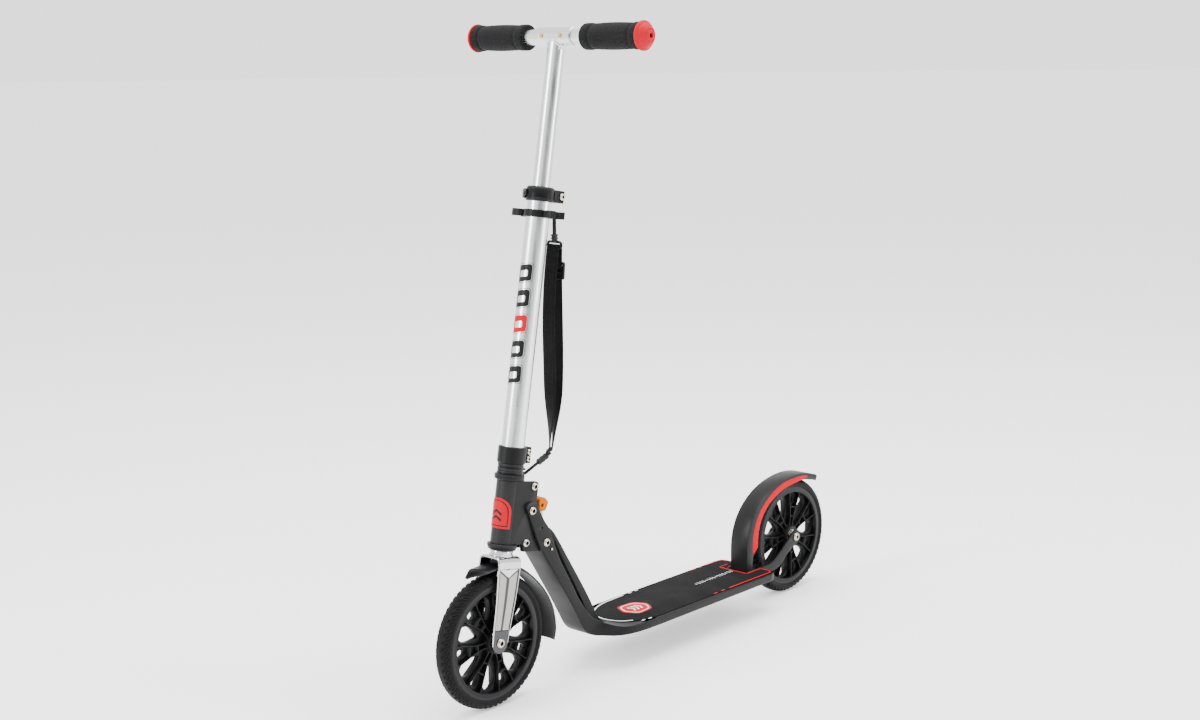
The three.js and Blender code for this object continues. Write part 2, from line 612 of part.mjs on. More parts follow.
// snap hook: its tip comes up through the eyelet, its ring holds the webbing's lower loop
function lowerHook() {
  const foot = [0, eyelet.y, eyelet.z - 5];
  const elbow = [0, eyelet.y + 7, eyelet.z - 5];
  const ringAt = [strapX, strapLowY, strapBottom - 3];
  const along = (k) => elbow.map((value, i) => value + (ringAt[i] - value) * k);
  const tip = bar(foot, [0, eyelet.y, eyelet.z + eyelet.h + 2], 1.9);
  const base = bar([0, eyelet.y - 1.5, foot[2]], [0, elbow[1] + 1, foot[2]], 1.9);
  const shank = bar(elbow, along(0.55), 2);
  const swivel = bar(along(0.5), along(0.97), 4.2);
  const [x, y, z] = ringAt;
  return join(tip, base, shank, swivel, block(x - 14, x + 14, y - 4, y + 0.5, z - 3, z + 1.5));
}
add(stem, 'lower_strap_hook', lowerHook(), PLASTIC);

// ---------- height tube and crossbar ----------
const heightBar = new THREE.Group();
heightBar.position.z = crossbarZ;
stem.add(heightBar);
function innerTube() {
  const bottom = collarTop - INNER_TUBE_IN - crossbarZ;
  return cut(tube(INNER_TUBE_R, INNER_TUBE_WALL, bottom, 0, ROUND),
    crossRod(CROSSBAR_R + GAP, -50, 50, 0, 0, ROUND));
}
add(heightBar, 'inner_tube', innerTube(), SATIN);

const handleBore = HANDLE_R + RUN;
function crossbar() {
  const half = CROSSBAR_L / 2;
  const eye = cut(crossRod(3.6, -1, 1, 0, 0, 16), crossRod(1.9, -5, 5)).rotate([0, 0, 90])
    .translate([17, -7, -CROSSBAR_R - 1.6]);
  const holes = [-1, 1].map((side) => solid(new THREE.CylinderGeometry(
    BUTTON_R + RUN, BUTTON_R + RUN, 30, 16)).translate([side * BUTTON_X, -20, 0]));
  return cut(join(crossRod(CROSSBAR_R, -half, half, 0, 0, ROUND), eye),
    crossRod(handleBore, -half - CUT, half + CUT, 0, 0, ROUND), ...holes);
}
add(heightBar, 'crossbar', crossbar(), SATIN);

function handleTube() {
  const tubeX = crossTurned([[0, 4], [HANDLE_R, 4], [HANDLE_R, BAR_HALF - 14], [0, BAR_HALF - 14]], ROUND);
  const hollow = crossRod(HANDLE_R - HANDLE_WALL, 0, BAR_HALF, 0, 0, ROUND);
  const slot = block(3, BUTTON_X, -40, 0, -BUTTON_R - 0.5, BUTTON_R + 0.5);
  const end = solid(new THREE.CylinderGeometry(BUTTON_R + 0.5, BUTTON_R + 0.5, 30, 16))
    .translate([BUTTON_X, -15, 0]);
  return cut(tubeX, hollow, slot, end);
}

function grip() {
  const end = GRIP_START + GRIP_L;
  const R = GRIP_R;
  const profile = [[0, GRIP_START], [R - 2, GRIP_START], [R, GRIP_START + 4], [R, GRIP_START + 13],
    [R - 1.8, GRIP_START + 16], [R, GRIP_START + GRIP_L / 2], [R - 1.6, end - 14], [R, end - 11],
    [R, end], [0, end]];
  return cut(crossTurned(profile, ROUND), crossRod(HANDLE_R + GAP, 0, BAR_HALF, 0, 0, ROUND));
}

function endCap() {
  const start = GRIP_START + GRIP_L + GAP;
  const profile = [[0, start], [CAP_R, start], [CAP_R, start + 3], [CAP_R - 4, start + 10],
    [CAP_R - 8, BAR_HALF - 0.5], [0, BAR_HALF]];
  const body = crossTurned(profile, ROUND);
  const tubeRoom = crossRod(HANDLE_R + GAP, 0, BAR_HALF - 13, 0, 0, ROUND);
  return cut(body, tubeRoom, crossRod(3, BAR_HALF - 20, BAR_HALF + CUT));
}

for (const [prefix, side] of [['left', 1], ['right', -1]]) {
  const place = (piece) => (side > 0 ? piece : piece.mirror([1, 0, 0]));
  add(heightBar, `${prefix}_handle_tube`, place(handleTube()), SATIN);
  add(heightBar, `${prefix}_grip`, place(grip()), FOAM);
  add(heightBar, `${prefix}_end_cap`, place(endCap()), RED);
  const pin = solid(new THREE.CylinderGeometry(BUTTON_R, BUTTON_R, 8, 16))
    .translate([side * BUTTON_X, -CROSSBAR_R - 1.5 + 4, 0]);
  add(heightBar, `${prefix}_button`, pin, BRASS);
}

// ---------- neck and deck ----------
const pivot = fromStem(PIVOT.y, PIVOT.z);
const leverPin = fromStem(LEVER.y, LEVER.z);
const armOuter = BRACKET_HALF + GAP + ARM;
const panelTop = DECK_TOP - TAPE - GAP;
const deckBottom = DECK_TOP - DECK_EDGE - TAPE;
const deckFrontY = pivot[0] + NECK_REACH;
const tapeFrontY = deckFrontY + TAPE_BACK;
const notchY = axleY - NOTCH_TO_AXLE;
const deckRearY = notchY + NOTCH_DEPTH;

// side outline of the neck's rail: round arm end, straight down, curved into the deck's edge
function railShape() {
  const [py, pz] = pivot;
  const slope = Math.atan2(0.848, 0.53);
  const shape = new THREE.Shape();
  shape.moveTo(py - ARM_END_R, pz - 2);
  shape.lineTo(py + 12, pz - 52);
  shape.lineTo(py + 78, pz - 158);
  shape.bezierCurveTo(py + 96, pz - 190, py + 118, deckBottom + 2, deckFrontY, deckBottom);
  shape.lineTo(deckFrontY, panelTop + 5);
  shape.bezierCurveTo(py + 124, panelTop + 10, py + 108, pz - 176, py + 88, pz - 142);
  shape.lineTo(py + 55, pz - 83);
  shape.lineTo(py + 37, pz - 36);
  shape.lineTo(py + ARM_END_R * Math.sin(slope), pz + ARM_END_R * Math.cos(slope));
  shape.absarc(py, pz, ARM_END_R, 0.4, Math.PI);
  shape.closePath();
  return shape;
}

// side outline of the narrower spine behind the rails
function spineShape() {
  const [py, pz] = pivot;
  const shape = new THREE.Shape();
  shape.moveTo(py + 26, pz - 74);
  shape.lineTo(py + 43, pz - 36);
  shape.lineTo(py + 55, pz - 47);
  shape.lineTo(py + 114, pz - 141);
  shape.bezierCurveTo(py + 126, pz - 162, py + 136, panelTop + 8, tapeFrontY - 4, panelTop + 2);
  shape.lineTo(tapeFrontY - 4, panelTop - 6);
  shape.lineTo(deckFrontY, deckBottom + 3);
  shape.lineTo(py + 78, pz - 156);
  shape.closePath();
  return shape;
}

function neck() {
  const rail = sideSlab(railShape(), -armOuter, armOuter);
  const spine = sideSlab(spineShape(), -SPINE_HALF, SPINE_HALF);
  const [py, pz] = pivot;
  const sweep = Math.hypot(34, LOCK.z - 13.3 - PIVOT.z) + GAP;
  const inside = BRACKET_HALF + GAP;
  const swing = crossRod(sweep, -inside, inside, py, pz, 32);
  const slot = new THREE.Shape([
    new THREE.Vector2(py - 60, pz + 60), new THREE.Vector2(py - 60, pz - 75),
    new THREE.Vector2(py + 25, pz - 75), new THREE.Vector2(py + 42.5, pz - 36),
    new THREE.Vector2(py + 42.5, pz + 60)]);
  const open = sideSlab(slot, -inside, inside);
  const room = crossRod(11, -SPINE_HALF, SPINE_HALF, leverPin[0], leverPin[1], ROUND);
  const front = swing.intersect(block(-inside, inside, py - 100, py + 22.6, pz - 100, pz));
  const deckSide = block(-armOuter - CUT, armOuter + CUT, deckFrontY - GAP, 0, 0, panelTop + GAP);
  return cut(join(rail, spine), open, front, room,
    crossRod(PIVOT_R + RUN, -50, 50, py, pz),
    crossRod(PIVOT_R + GAP, -50, 50, leverPin[0], leverPin[1]),
    deckSide);
}
add(scooter, 'neck', neck(), BLACK);

function deckOutline() {
  const y0 = deckFrontY;
  const shape = new THREE.Shape();
  shape.moveTo(-armOuter, y0);
  shape.lineTo(armOuter, y0);
  shape.bezierCurveTo(armOuter + 22, y0 + 8, DECK_HALF - 2, y0 + 30, DECK_HALF, y0 + 90);
  shape.lineTo(DECK_HALF, deckRearY - 16);
  shape.quadraticCurveTo(DECK_HALF, deckRearY, DECK_HALF - 18, deckRearY);
  shape.lineTo(NOTCH_HALF, deckRearY);
  shape.lineTo(NOTCH_HALF, notchY);
  shape.lineTo(-NOTCH_HALF, notchY);
  shape.lineTo(-NOTCH_HALF, deckRearY);
  shape.lineTo(-DECK_HALF + 18, deckRearY);
  shape.quadraticCurveTo(-DECK_HALF, deckRearY, -DECK_HALF, deckRearY - 16);
  shape.lineTo(-DECK_HALF, y0 + 90);
  shape.bezierCurveTo(-DECK_HALF + 2, y0 + 30, -armOuter - 22, y0 + 8, -armOuter, y0);
  return shape;
}

const brakePin = { y: notchY + BRAKE_PIN_BACK, z: (deckBottom + panelTop) / 2 };
function deck() {
  const body = slab(deckOutline(), deckBottom, panelTop, 8);
  const width = (2 * (DECK_HALF - 2 * DECK_RIB) - (CHANNELS - 1) * DECK_RIB) / CHANNELS;
  const channels = [];
  for (let i = 0; i < CHANNELS; i += 1) {
    const x0 = -DECK_HALF + 2 * DECK_RIB + i * (width + DECK_RIB);
    channels.push(block(x0, x0 + width, deckFrontY + 70, notchY - 12,
      deckBottom - CUT, panelTop - DECK_PANEL));
  }
  const pinEnd = NOTCH_HALF + 8;
  return cut(body, ...channels, crossRod(BRAKE_PIN_R + GAP, -pinEnd, pinEnd, brakePin.y, brakePin.z));
}
add(scooter, 'deck', deck(), BLACK);

function gripTape() {
  const inset = 4;
  const half = DECK_HALF - inset;
  const y0 = tapeFrontY;
  const notch = NOTCH_HALF + inset - 1;
  const shape = new THREE.Shape();
  shape.moveTo(0, y0);
  shape.bezierCurveTo(half * 0.55, y0, half * 0.95, y0 + 26, half, y0 + 80);
  shape.lineTo(half, deckRearY - 14);
  shape.lineTo(half - 10, deckRearY - 4);
  shape.lineTo(notch, deckRearY - 4);
  shape.lineTo(notch, notchY - inset);
  shape.lineTo(-notch, notchY - inset);
  shape.lineTo(-notch, deckRearY - 4);
  shape.lineTo(-half + 10, deckRearY - 4);
  shape.lineTo(-half, deckRearY - 14);
  shape.lineTo(-half, y0 + 80);
  shape.bezierCurveTo(-half * 0.95, y0 + 26, -half * 0.55, y0, 0, y0);
  return slab(shape, DECK_TOP - TAPE, DECK_TOP, 8);
}
add(scooter, 'grip_tape', gripTape(), GRIT);

// ---------- rear dropouts ----------
function dropoutShape() {
  const y = axleY;
  const shape = new THREE.Shape();
  shape.moveTo(notchY + 6, panelTop - 1);
  shape.lineTo(notchY + 6, deckBottom + 1);
  shape.lineTo(y - 62, deckBottom - 1);
  shape.quadraticCurveTo(y - 44, deckBottom + 2, y - 28, WHEEL_R - 27);
  shape.lineTo(y + 6, WHEEL_R - 11);
  shape.absarc(y, WHEEL_R, 12, -1.05, 2.2);
  shape.lineTo(y - 40, WHEEL_R - 14);
  shape.quadraticCurveTo(y - 62, panelTop + 6, y - 80, panelTop);
  shape.closePath();
  return shape;
}
for (const [prefix, side] of [['left', 1], ['right', -1]]) {
  const plate = cut(sideSlab(dropoutShape(), dropoutOutside - DROPOUT, dropoutOutside, 8),
    crossRod(AXLE_R + GAP, 0, 50, axleY, WHEEL_R),
    crossRod(BRAKE_PIN_R + GAP, 0, 50, brakePin.y, brakePin.z));
  add(scooter, `${prefix}_dropout`, side > 0 ? plate : plate.mirror([1, 0, 0]), BLACK);
}

// ---------- rear fender brake ----------
function fenderShape() {
  const y = axleY;
  const outerR = WHEEL_R + TYRE_GAP + FENDER_WALL;
  const top = WHEEL_R + outerR;
  const shape = new THREE.Shape();
  shape.moveTo(notchY + 9, deckBottom + 2);
  shape.lineTo(notchY + 9, WHEEL_R + 14);
  shape.bezierCurveTo(notchY + 11, WHEEL_R + 76, y - 60, top, y + 14, top);
  shape.bezierCurveTo(y + 34, top - 1, y + 48, top - 5, y + 70, top - 13);
  shape.lineTo(y + 66, top - 20);
  shape.lineTo(y + 42, top - 9.4);
  const inner = WHEEL_R + TYRE_GAP;
  shape.absarc(y, WHEEL_R, inner, 1.16, Math.PI - 0.25);
  shape.lineTo(brakePin.y + 7, WHEEL_R - 22);
  shape.lineTo(brakePin.y + 7, deckBottom + 2);
  shape.closePath();
  return shape;
}
function fender() {
  const body = sideSlab(fenderShape(), -FENDER_HALF, FENDER_HALF, 9);
  const wheelRoom = crossRod(WHEEL_R + TYRE_GAP, -TYRE_W / 2 - 2, TYRE_W / 2 + 2, axleY, WHEEL_R, 48);
  const pin = crossRod(BRAKE_PIN_R + GAP, -50, 50, brakePin.y, brakePin.z);
  return cut(body, wheelRoom, pin);
}
add(scooter, 'rear_fender', fender(), BLACK);
add(scooter, 'brake_pivot_pin',
  crossRod(BRAKE_PIN_R, -NOTCH_HALF - 7, NOTCH_HALF + 7, brakePin.y, brakePin.z), STEEL);

// ---------- fold pivot, lever and its pins ----------
const boltEnd = armOuter + GAP;
add(scooter, 'fold_pivot_bolt', headedPin(PIVOT_R, 6.2, boltEnd, ...pivot), STEEL);
add(scooter, 'lever_pivot_bolt', headedPin(PIVOT_R, 6.2, boltEnd, ...leverPin), STEEL);
const springPin = crossRod(1.7, armOuter + GAP, armOuter + 1.6, ...fromStem(LEVER.y + 12.1, LEVER.z - 10.2));
add(scooter, 'lever_spring_pin', springPin, STEEL);

const lever = new THREE.Group();
lever.position.copy(stem.position);
lever.rotation.copy(stem.rotation);
scooter.add(lever);
const leverHalf = 7;
function foldLever() {
  const boss = crossRod(8, -leverHalf, leverHalf, LEVER.y, LEVER.z, ROUND);
  const arm = polygon([[LOCK.y + 8, LOCK.z - 5], [LEVER.y, LEVER.z - 6], [LEVER.y, LEVER.z + 6],
    [LOCK.y - 3, LOCK.z + 10], [LOCK.y - 3, LOCK.z + 5.4], [LOCK.y + 5.4, LOCK.z + 5.4]]);
  const post = polygon([[LEVER.y - 5, LEVER.z], [LEVER.y + 3, LEVER.z], [LEVER.y + 3, LEVER.z + 44],
    [LEVER.y - 5, LEVER.z + 44]]);
  return cut(join(boss, sideSlab(arm, -leverHalf, leverHalf), sideSlab(post, -leverHalf, leverHalf)),
    crossRod(PIVOT_R + RUN, -20, 20, LEVER.y, LEVER.z));
}
add(lever, 'fold_lever', foldLever(), STEEL);
const paddleFoot = LEVER.z + 44 + GAP;
add(lever, 'lever_paddle', sideSlab(polygon([[LEVER.y - 6, paddleFoot], [LEVER.y + 5, paddleFoot],
  [LEVER.y + 10, paddleFoot + 14], [LEVER.y + 2, paddleFoot + 19], [LEVER.y - 10, paddleFoot + 16],
  [LEVER.y - 9, paddleFoot + 8]]), -8.5, 8.5), ORANGE);

export default scooter;
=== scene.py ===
# Folding kick scooter: the looks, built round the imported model.
# Shapes are written in millimetres and turned into metres when a piece is made.
# What turns with the handlebar is drawn in the stem's own frame: z runs up the steering
# axis from axle height, y points to the rider, x to the scooter's left.
import json
import math

import bmesh
import bpy
from mathutils import Matrix, Vector


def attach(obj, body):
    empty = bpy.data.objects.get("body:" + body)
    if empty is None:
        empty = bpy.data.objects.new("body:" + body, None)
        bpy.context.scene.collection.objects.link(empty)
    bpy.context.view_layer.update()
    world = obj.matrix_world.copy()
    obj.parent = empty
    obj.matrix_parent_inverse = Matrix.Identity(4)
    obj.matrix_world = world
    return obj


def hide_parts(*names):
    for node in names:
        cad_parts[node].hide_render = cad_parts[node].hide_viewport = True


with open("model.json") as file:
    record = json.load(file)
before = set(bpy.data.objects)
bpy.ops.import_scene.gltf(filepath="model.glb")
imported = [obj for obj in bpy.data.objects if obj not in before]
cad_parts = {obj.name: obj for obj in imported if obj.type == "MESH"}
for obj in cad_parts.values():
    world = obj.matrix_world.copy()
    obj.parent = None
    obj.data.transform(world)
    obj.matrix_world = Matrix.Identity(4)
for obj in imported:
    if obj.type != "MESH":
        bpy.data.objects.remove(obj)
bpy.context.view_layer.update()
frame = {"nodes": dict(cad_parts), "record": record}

MM = Matrix.Scale(0.001, 4)
JOINTS = {joint["name"]: joint for joint in frame["record"]["behaviour"]["joints"]}


def joint_place(name):
    return Vector(JOINTS[name]["pos_m"]) * 1000


# ---------- sizes, in millimetres ----------
stem_axis = Vector(JOINTS["steer"]["axis"])
RAKE = math.asin(stem_axis.y)
STEM = Matrix.Translation(joint_place("steer")) @ Matrix.Rotation(-RAKE, 4, "X")
GROUND = Matrix.Identity(4)
FRONT_AXLE = joint_place("front_wheel_spin")
REAR_AXLE = joint_place("rear_wheel_spin")
FOLD_PIVOT = joint_place("fold")
LEVER_PIVOT = joint_place("fold_release")
BRAKE_PIVOT = joint_place("brake_press")
BAR_HEIGHT = 871.9
BAR = STEM @ Matrix.Translation((0, 0, BAR_HEIGHT))

# clearance between neighbours, as in the CAD model
GAP = 0.3

# wheels
RIM_R = 84.7
RIM_INNER = 76.5
TYRE_HALF = 14
SIPES = 60
# pairs of ribs in a hub, and the first one's angle
PAIRS = 7
FIRST_PAIR = 28

# fork, head and stem; a pair of values is (inner, outer) across, or (low, high) up the stem
FORK_X = (18, 21)
CROWN_TOP = 124
HEAD_TUBE = (142, 234.6)
HEAD_R = 18
TUBE = (259.6, 652.6)
TUBE_R = 17
COLLAR = (636.8, 657.6)
HOLDER = (613.8, 624.3)
CLAMP = (259.3, 283)
INNER_R = 12.7

# screws and pivots, as (y, z) in the stem's frame
PIVOT = (32, 192)
SCREW = (35.4, 226.7)
LOCK = (30.4, 144.3)
LEVER = (69.1, 144.3)

# neck, deck and fender
ARM_X = (18.3, 22.5)
DECK_TOP = 69
PANEL_TOP = 67.9
DECK_BOTTOM = 55.2
DECK_HALF = 60
NOTCH_HALF = 24.5
NOTCH_Y = 218
DECK_END = 256
FENDER_HALF = 18.3

# handles and strap
HANDLE_R = 11.1
GRIP = (56.5, 161)
STRAP_X = 9
# the webbing's half width and half thickness
WEBBING = (12, 0.8)

# printed marks
WRAP_STEP = 2.0
LINKS = 5
LINK_START = 371
LINK_PITCH = 36.5
DASHES = 15
DASH_START = 112
DASH_PITCH = 6.6


# ---------- mesh helpers ----------
def turn(count):
    return [2 * math.pi * i / count for i in range(count)]


def circle(r, count=48, centre=(0, 0)):
    return [(centre[0] + r * math.cos(t), centre[1] + r * math.sin(t)) for t in turn(count)]


def arc(centre, r, start, end, count=16):
    """Points round centre, from start to end degrees."""
    angles = [math.radians(start + (end - start) * i / count) for i in range(count + 1)]
    return [(centre[0] + r * math.cos(t), centre[1] + r * math.sin(t)) for t in angles]


def bezier(a, b, c, d, count=14):
    points = []
    for i in range(count + 1):
        t = i / count
        weights = ((1 - t) ** 3, 3 * t * (1 - t) ** 2, 3 * t * t * (1 - t), t ** 3)
        points.append(tuple(sum(w * p[k] for w, p in zip(weights, (a, b, c, d))) for k in range(2)))
    return points


def rounded(corners, radius=3.0, steps=5):
    """A closed outline whose corners are rounded; a third value is that corner's own radius."""
    outline = []
    for i, corner in enumerate(corners):
        here = Vector(corner[:2])
        before = Vector(corners[i - 1][:2]) - here
        after = Vector(corners[(i + 1) % len(corners)][:2]) - here
        size = corner[2] if len(corner) > 2 else radius
        if size <= 0:
            outline.append(tuple(here))
            continue
        half = before.angle(after) / 2
        reach = min(size / math.tan(half), before.length * 0.48, after.length * 0.48)
        start = here + before.normalized() * reach
        end = here + after.normalized() * reach
        for k in range(steps + 1):
            t = k / steps
            outline.append(tuple(start * (1 - t) ** 2 + here * 2 * t * (1 - t) + end * t * t))
    return outline


def between(table, value):
    """Straight-line lookup in (value, result) rows."""
    for (x0, y0), (x1, y1) in zip(table, table[1:]):
        if value <= x1:
            k = max(0.0, (value - x0) / (x1 - x0))
            return y0 + (y1 - y0) * k
    return table[-1][1]


def smoothstep(low, high, value):
    t = min(1.0, max(0.0, (value - low) / (high - low)))
    return t * t * (3 - 2 * t)


def skin(bm, rings, loop=False, cap=True):
    """Quads between rings of equal length, or towards a ring of one point."""
    pairs = list(zip(rings, rings[1:] + rings[:1])) if loop else list(zip(rings, rings[1:]))
    for near, far in pairs:
        count = max(len(near), len(far))
        for i in range(count):
            j = (i + 1) % count
            corners = [near[i % len(near)], near[j % len(near)], far[j % len(far)], far[i % len(far)]]
            corners = list(dict.fromkeys(corners))
            if len(corners) > 2:
                bm.faces.new(corners)
    if cap and not loop:
        for ring in (rings[0], rings[-1]):
            if len(ring) > 2:
                bm.faces.new(ring)


def revolve(profile, segments=64, hexed=()):
    """Body of revolution about z from (radius, z) points; a ring if it doesn't start on the axis.
    Points whose index is in hexed follow a hexagon."""
    bm = bmesh.new()
    rings = []
    for k, (r, z) in enumerate(profile):
        if r < 1e-6:
            rings.append([bm.verts.new((0, 0, z))])
            continue
        ring = []
        for t in turn(segments):
            corner = (t + math.pi / 6) % (math.pi / 3) - math.pi / 6
            size = r / math.cos(corner) if k in hexed else r
            ring.append(bm.verts.new((size * math.cos(t), size * math.sin(t), z)))
        rings.append(ring)
    skin(bm, rings, loop=profile[0][0] > 1e-6, cap=False)
    return bm


def plate(outline, low, high, holes=(), bevel=0.6, side=True):
    """An outline raised with rounded edges: along x from (y, z) points, or with side=False
    along z from (x, y) points."""
    curve = bpy.data.curves.new("plate", "CURVE")
    curve.dimensions = "2D"
    curve.fill_mode = "BOTH"
    curve.bevel_depth = bevel
    curve.bevel_resolution = 2
    curve.offset = -bevel
    curve.extrude = (high - low) / 2 - bevel
    for points in (outline, *holes):
        spline = curve.splines.new("POLY")
        spline.points.add(len(points) - 1)
        for point, (a, b) in zip(spline.points, points):
            point.co = (a, b, 0, 1)
        spline.use_cyclic_u = True
    bm = evaluated(bpy.data.objects.new("plate", curve))
    bmesh.ops.remove_doubles(bm, verts=bm.verts, dist=0.002)
    middle = (low + high) / 2
    for vert in bm.verts:
        a, b, c = vert.co
        vert.co = (middle + c, a, b) if side else (a, b, middle + c)
    return bm


def prism(outline, low, high):
    """A plain sharp-edged block along x from (y, z) points."""
    bm = bmesh.new()
    skin(bm, [[bm.verts.new((x, *point)) for point in outline] for x in (low, high)])
    return bm


def evaluated(obj):
    """The object's final mesh as a bmesh; the object itself goes."""
    bpy.context.scene.collection.objects.link(obj)
    mesh = obj.evaluated_get(bpy.context.evaluated_depsgraph_get()).to_mesh()
    bm = bmesh.new()
    bm.from_mesh(mesh)
    bpy.data.objects.remove(obj)
    return bm


def as_mesh(bm, name):
    """The bmesh as mesh data, its faces turned outwards."""
    mesh = bpy.data.meshes.new(name)
    bmesh.ops.recalc_face_normals(bm, faces=bm.faces)
    bm.to_mesh(mesh)
    bm.free()
    return mesh


def temp(bm):
    return bpy.data.objects.new("temp", as_mesh(bm, "temp"))


def boolean(base, *tools, operation="DIFFERENCE"):
    """base with the tools cut from it or joined to it."""
    body = temp(base)
    others = [temp(tool) for tool in tools]
    for other in others:
        bpy.context.scene.collection.objects.link(other)
        modifier = body.modifiers.new("join", "BOOLEAN")
        modifier.operation = operation
        modifier.solver = "EXACT"
        modifier.object = other
    result = evaluated(body)
    for other in others:
        bpy.data.objects.remove(other)
    return result


def union(base, *tools):
    return boolean(base, *tools, operation="UNION")


def sweep(path, section, side=(1, 0, 0), loop=False):
    """A section of (side, normal) points carried along a path."""
    bm = bmesh.new()
    points = [Vector(p) for p in path]
    side = Vector(side)
    rings = []
    for i, point in enumerate(points):
        before = points[i - 1] if i or loop else point
        after = points[(i + 1) % len(points)] if i < len(points) - 1 or loop else point
        tangent = (after - before).normalized()
        normal = side.cross(tangent).normalized()
        across = tangent.cross(normal)
        rings.append([bm.verts.new(point + across * a + normal * b) for a, b in section])
    skin(bm, rings, loop=loop)
    return bm


def moved(bm, matrix):
    bmesh.ops.transform(bm, matrix=matrix, verts=bm.verts)
    return bm


def merged(*parts):
    """Several separate bodies as one mesh."""
    whole = bmesh.new()
    for part in parts:
        mesh = as_mesh(part, "part")
        whole.from_mesh(mesh)
        bpy.data.meshes.remove(mesh)
    return whole


def shift(x=0, y=0, z=0):
    return Matrix.Translation((x, y, z))


FLIP_X = Matrix.Scale(-1, 4, (1, 0, 0))
ALONG_X = Matrix.Rotation(math.pi / 2, 4, "Y")
UPRIGHT = Matrix.Rotation(math.pi / 2, 4, "X")


def crossed(bm, x=0, y=0, z=0):
    """A body of revolution laid along x, its z turned to +x."""
    return moved(bm, shift(x, y, z) @ ALONG_X)


def box(x0, x1, y0, y1, z0, z1):
    bm = bmesh.new()
    bmesh.ops.create_cube(bm, size=1)
    centre = ((x0 + x1) / 2, (y0 + y1) / 2, (z0 + z1) / 2)
    size = Matrix.Diagonal((x1 - x0, y1 - y0, z1 - z0, 1))
    return moved(bm, Matrix.Translation(centre) @ size)


def rod(r, z0, z1, segments=64):
    return revolve([(0, z0), (r, z0), (r, z1), (0, z1)], segments)


def piece(name, bm, look, body, nodes=(), place=GROUND, angle=32, bevel=0, inlays=()):
    """Makes the object, gives it its material and body, and hides the CAD nodes it stands for.
    inlays are (look, test of a face's centre) pairs for the faces that have another finish, and for
    faces of painted shade."""
    for face in bm.faces:
        centre = face.calc_center_median()
        face.material_index = next((i for i, (_, test) in enumerate(inlays, 1) if test(centre)), 0)
    mesh = as_mesh(bm, name)
    mesh.transform(MM @ place)
    if (MM @ place).determinant() < 0:
        mesh.flip_normals()
    mesh.shade_smooth()
    mesh.set_sharp_from_angle(angle=math.radians(angle))
    for finish in (look, *(other for other, _ in inlays)):
        mesh.materials.append(finish["material"])
    obj = bpy.data.objects.new(name, mesh)
    bpy.context.scene.collection.objects.link(obj)
    if bevel:
        modifier = obj.modifiers.new("edges", "BEVEL")
        modifier.width = bevel / 1000
        modifier.segments = 2
        modifier.limit_method = "ANGLE"
        modifier.angle_limit = math.radians(40)
        modifier.harden_normals = True
    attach(obj, body)
    if nodes:
        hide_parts(*nodes)
    return obj


# ---------- materials ----------
def make_node(nodes, kind, settings):
    """A shader node with the values of its input sockets."""
    made = nodes.new(f"ShaderNode{kind}")
    for name, value in settings.items():
        made.inputs[name].default_value = value
    return made


def spread_node(tree, noise, low, high):
    """Noise from 0.3 to 0.7 stretched to run from low to high."""
    settings = {"From Min": 0.3, "From Max": 0.7, "To Min": low, "To Max": high}
    made = make_node(tree.nodes, "MapRange", settings)
    tree.links.new(noise.outputs["Fac"], made.inputs["Value"])
    return made.outputs["Result"]


def edge_highlight(tree, color, last, edge_highlight_strength):
    """The colour so far, paler where the surface is a sharp outer edge: a painted highlight along the
    edges.
    """
    edges = tree.nodes.new("ShaderNodeNewGeometry")
    ramp = make_node(tree.nodes, "MapRange", {"From Min": 0.52, "From Max": 0.6, "To Max": edge_highlight_strength})
    tree.links.new(edges.outputs["Pointiness"], ramp.inputs["Value"])
    highlit = tree.nodes.new("ShaderNodeMix")
    highlit.data_type = "RGBA"
    highlit.inputs[7].default_value = (*[min(1, c * 3 + 0.03) for c in color], 1)
    tree.links.new(ramp.outputs["Result"], highlit.inputs[0])
    tree.links.new(last, highlit.inputs[6])
    return highlit.outputs[2]


def finish_material(slot, color, roughness, metallic=0.0, grain=(900, 0.1, 0.02), spread=0.15, edge_highlight_strength=0.0,
                    sheen=0.0, stretch=(1, 1, 1), rough_spread=0.08, detail=4.0, shine=0.5):
    """A Principled surface with its colour, roughness and bump varied by noise of object space.
    grain is (cells per metre, strength, depth in millimetres)."""
    mat = bpy.data.materials.new(slot)
    mat.use_nodes = True
    tree = mat.node_tree
    nodes = tree.nodes
    link = tree.links.new
    shader = nodes["Principled BSDF"]
    settings = {"Metallic": metallic, "Coat Weight": 0.0, "Coat Roughness": 0.2, "Sheen Weight": sheen,
                "Specular IOR Level": shine}
    for name, value in settings.items():
        shader.inputs[name].default_value = value
    where = nodes.new("ShaderNodeTexCoord")
    mapping = make_node(nodes, "Mapping", {"Scale": stretch, "Rotation": (RAKE, 0, 0)})
    link(where.outputs["Object"], mapping.inputs["Vector"])
    fine = make_node(nodes, "TexNoise", {"Scale": grain[0], "Detail": detail})
    broad = make_node(nodes, "TexNoise", {"Scale": 18, "Detail": 6})
    for noise in (fine, broad):
        link(mapping.outputs["Vector"], noise.inputs["Vector"])
    shade = nodes.new("ShaderNodeMix")
    shade.data_type = "RGBA"
    shade.blend_type = "MULTIPLY"
    shade.inputs[0].default_value = 1
    shade.inputs[6].default_value = (*color, 1)
    link(spread_node(tree, fine, 1 - spread, 1 + spread), shade.inputs[7])
    # paler colour on sharp edges, found by Pointiness, is a painted highlight
    last = edge_highlight(tree, color, shade.outputs[2], edge_highlight_strength) if edge_highlight_strength else shade.outputs[2]
    link(last, shader.inputs["Base Color"])
    rough = spread_node(tree, broad, max(0.03, roughness - rough_spread),
                        min(1, roughness + rough_spread))
    link(rough, shader.inputs["Roughness"])
    bump = make_node(nodes, "Bump", {"Strength": grain[1], "Distance": grain[2] / 1000})
    link(fine.outputs["Fac"], bump.inputs["Height"])
    link(bump.outputs["Normal"], shader.inputs["Normal"])
    return {"material": mat, "slot": slot}


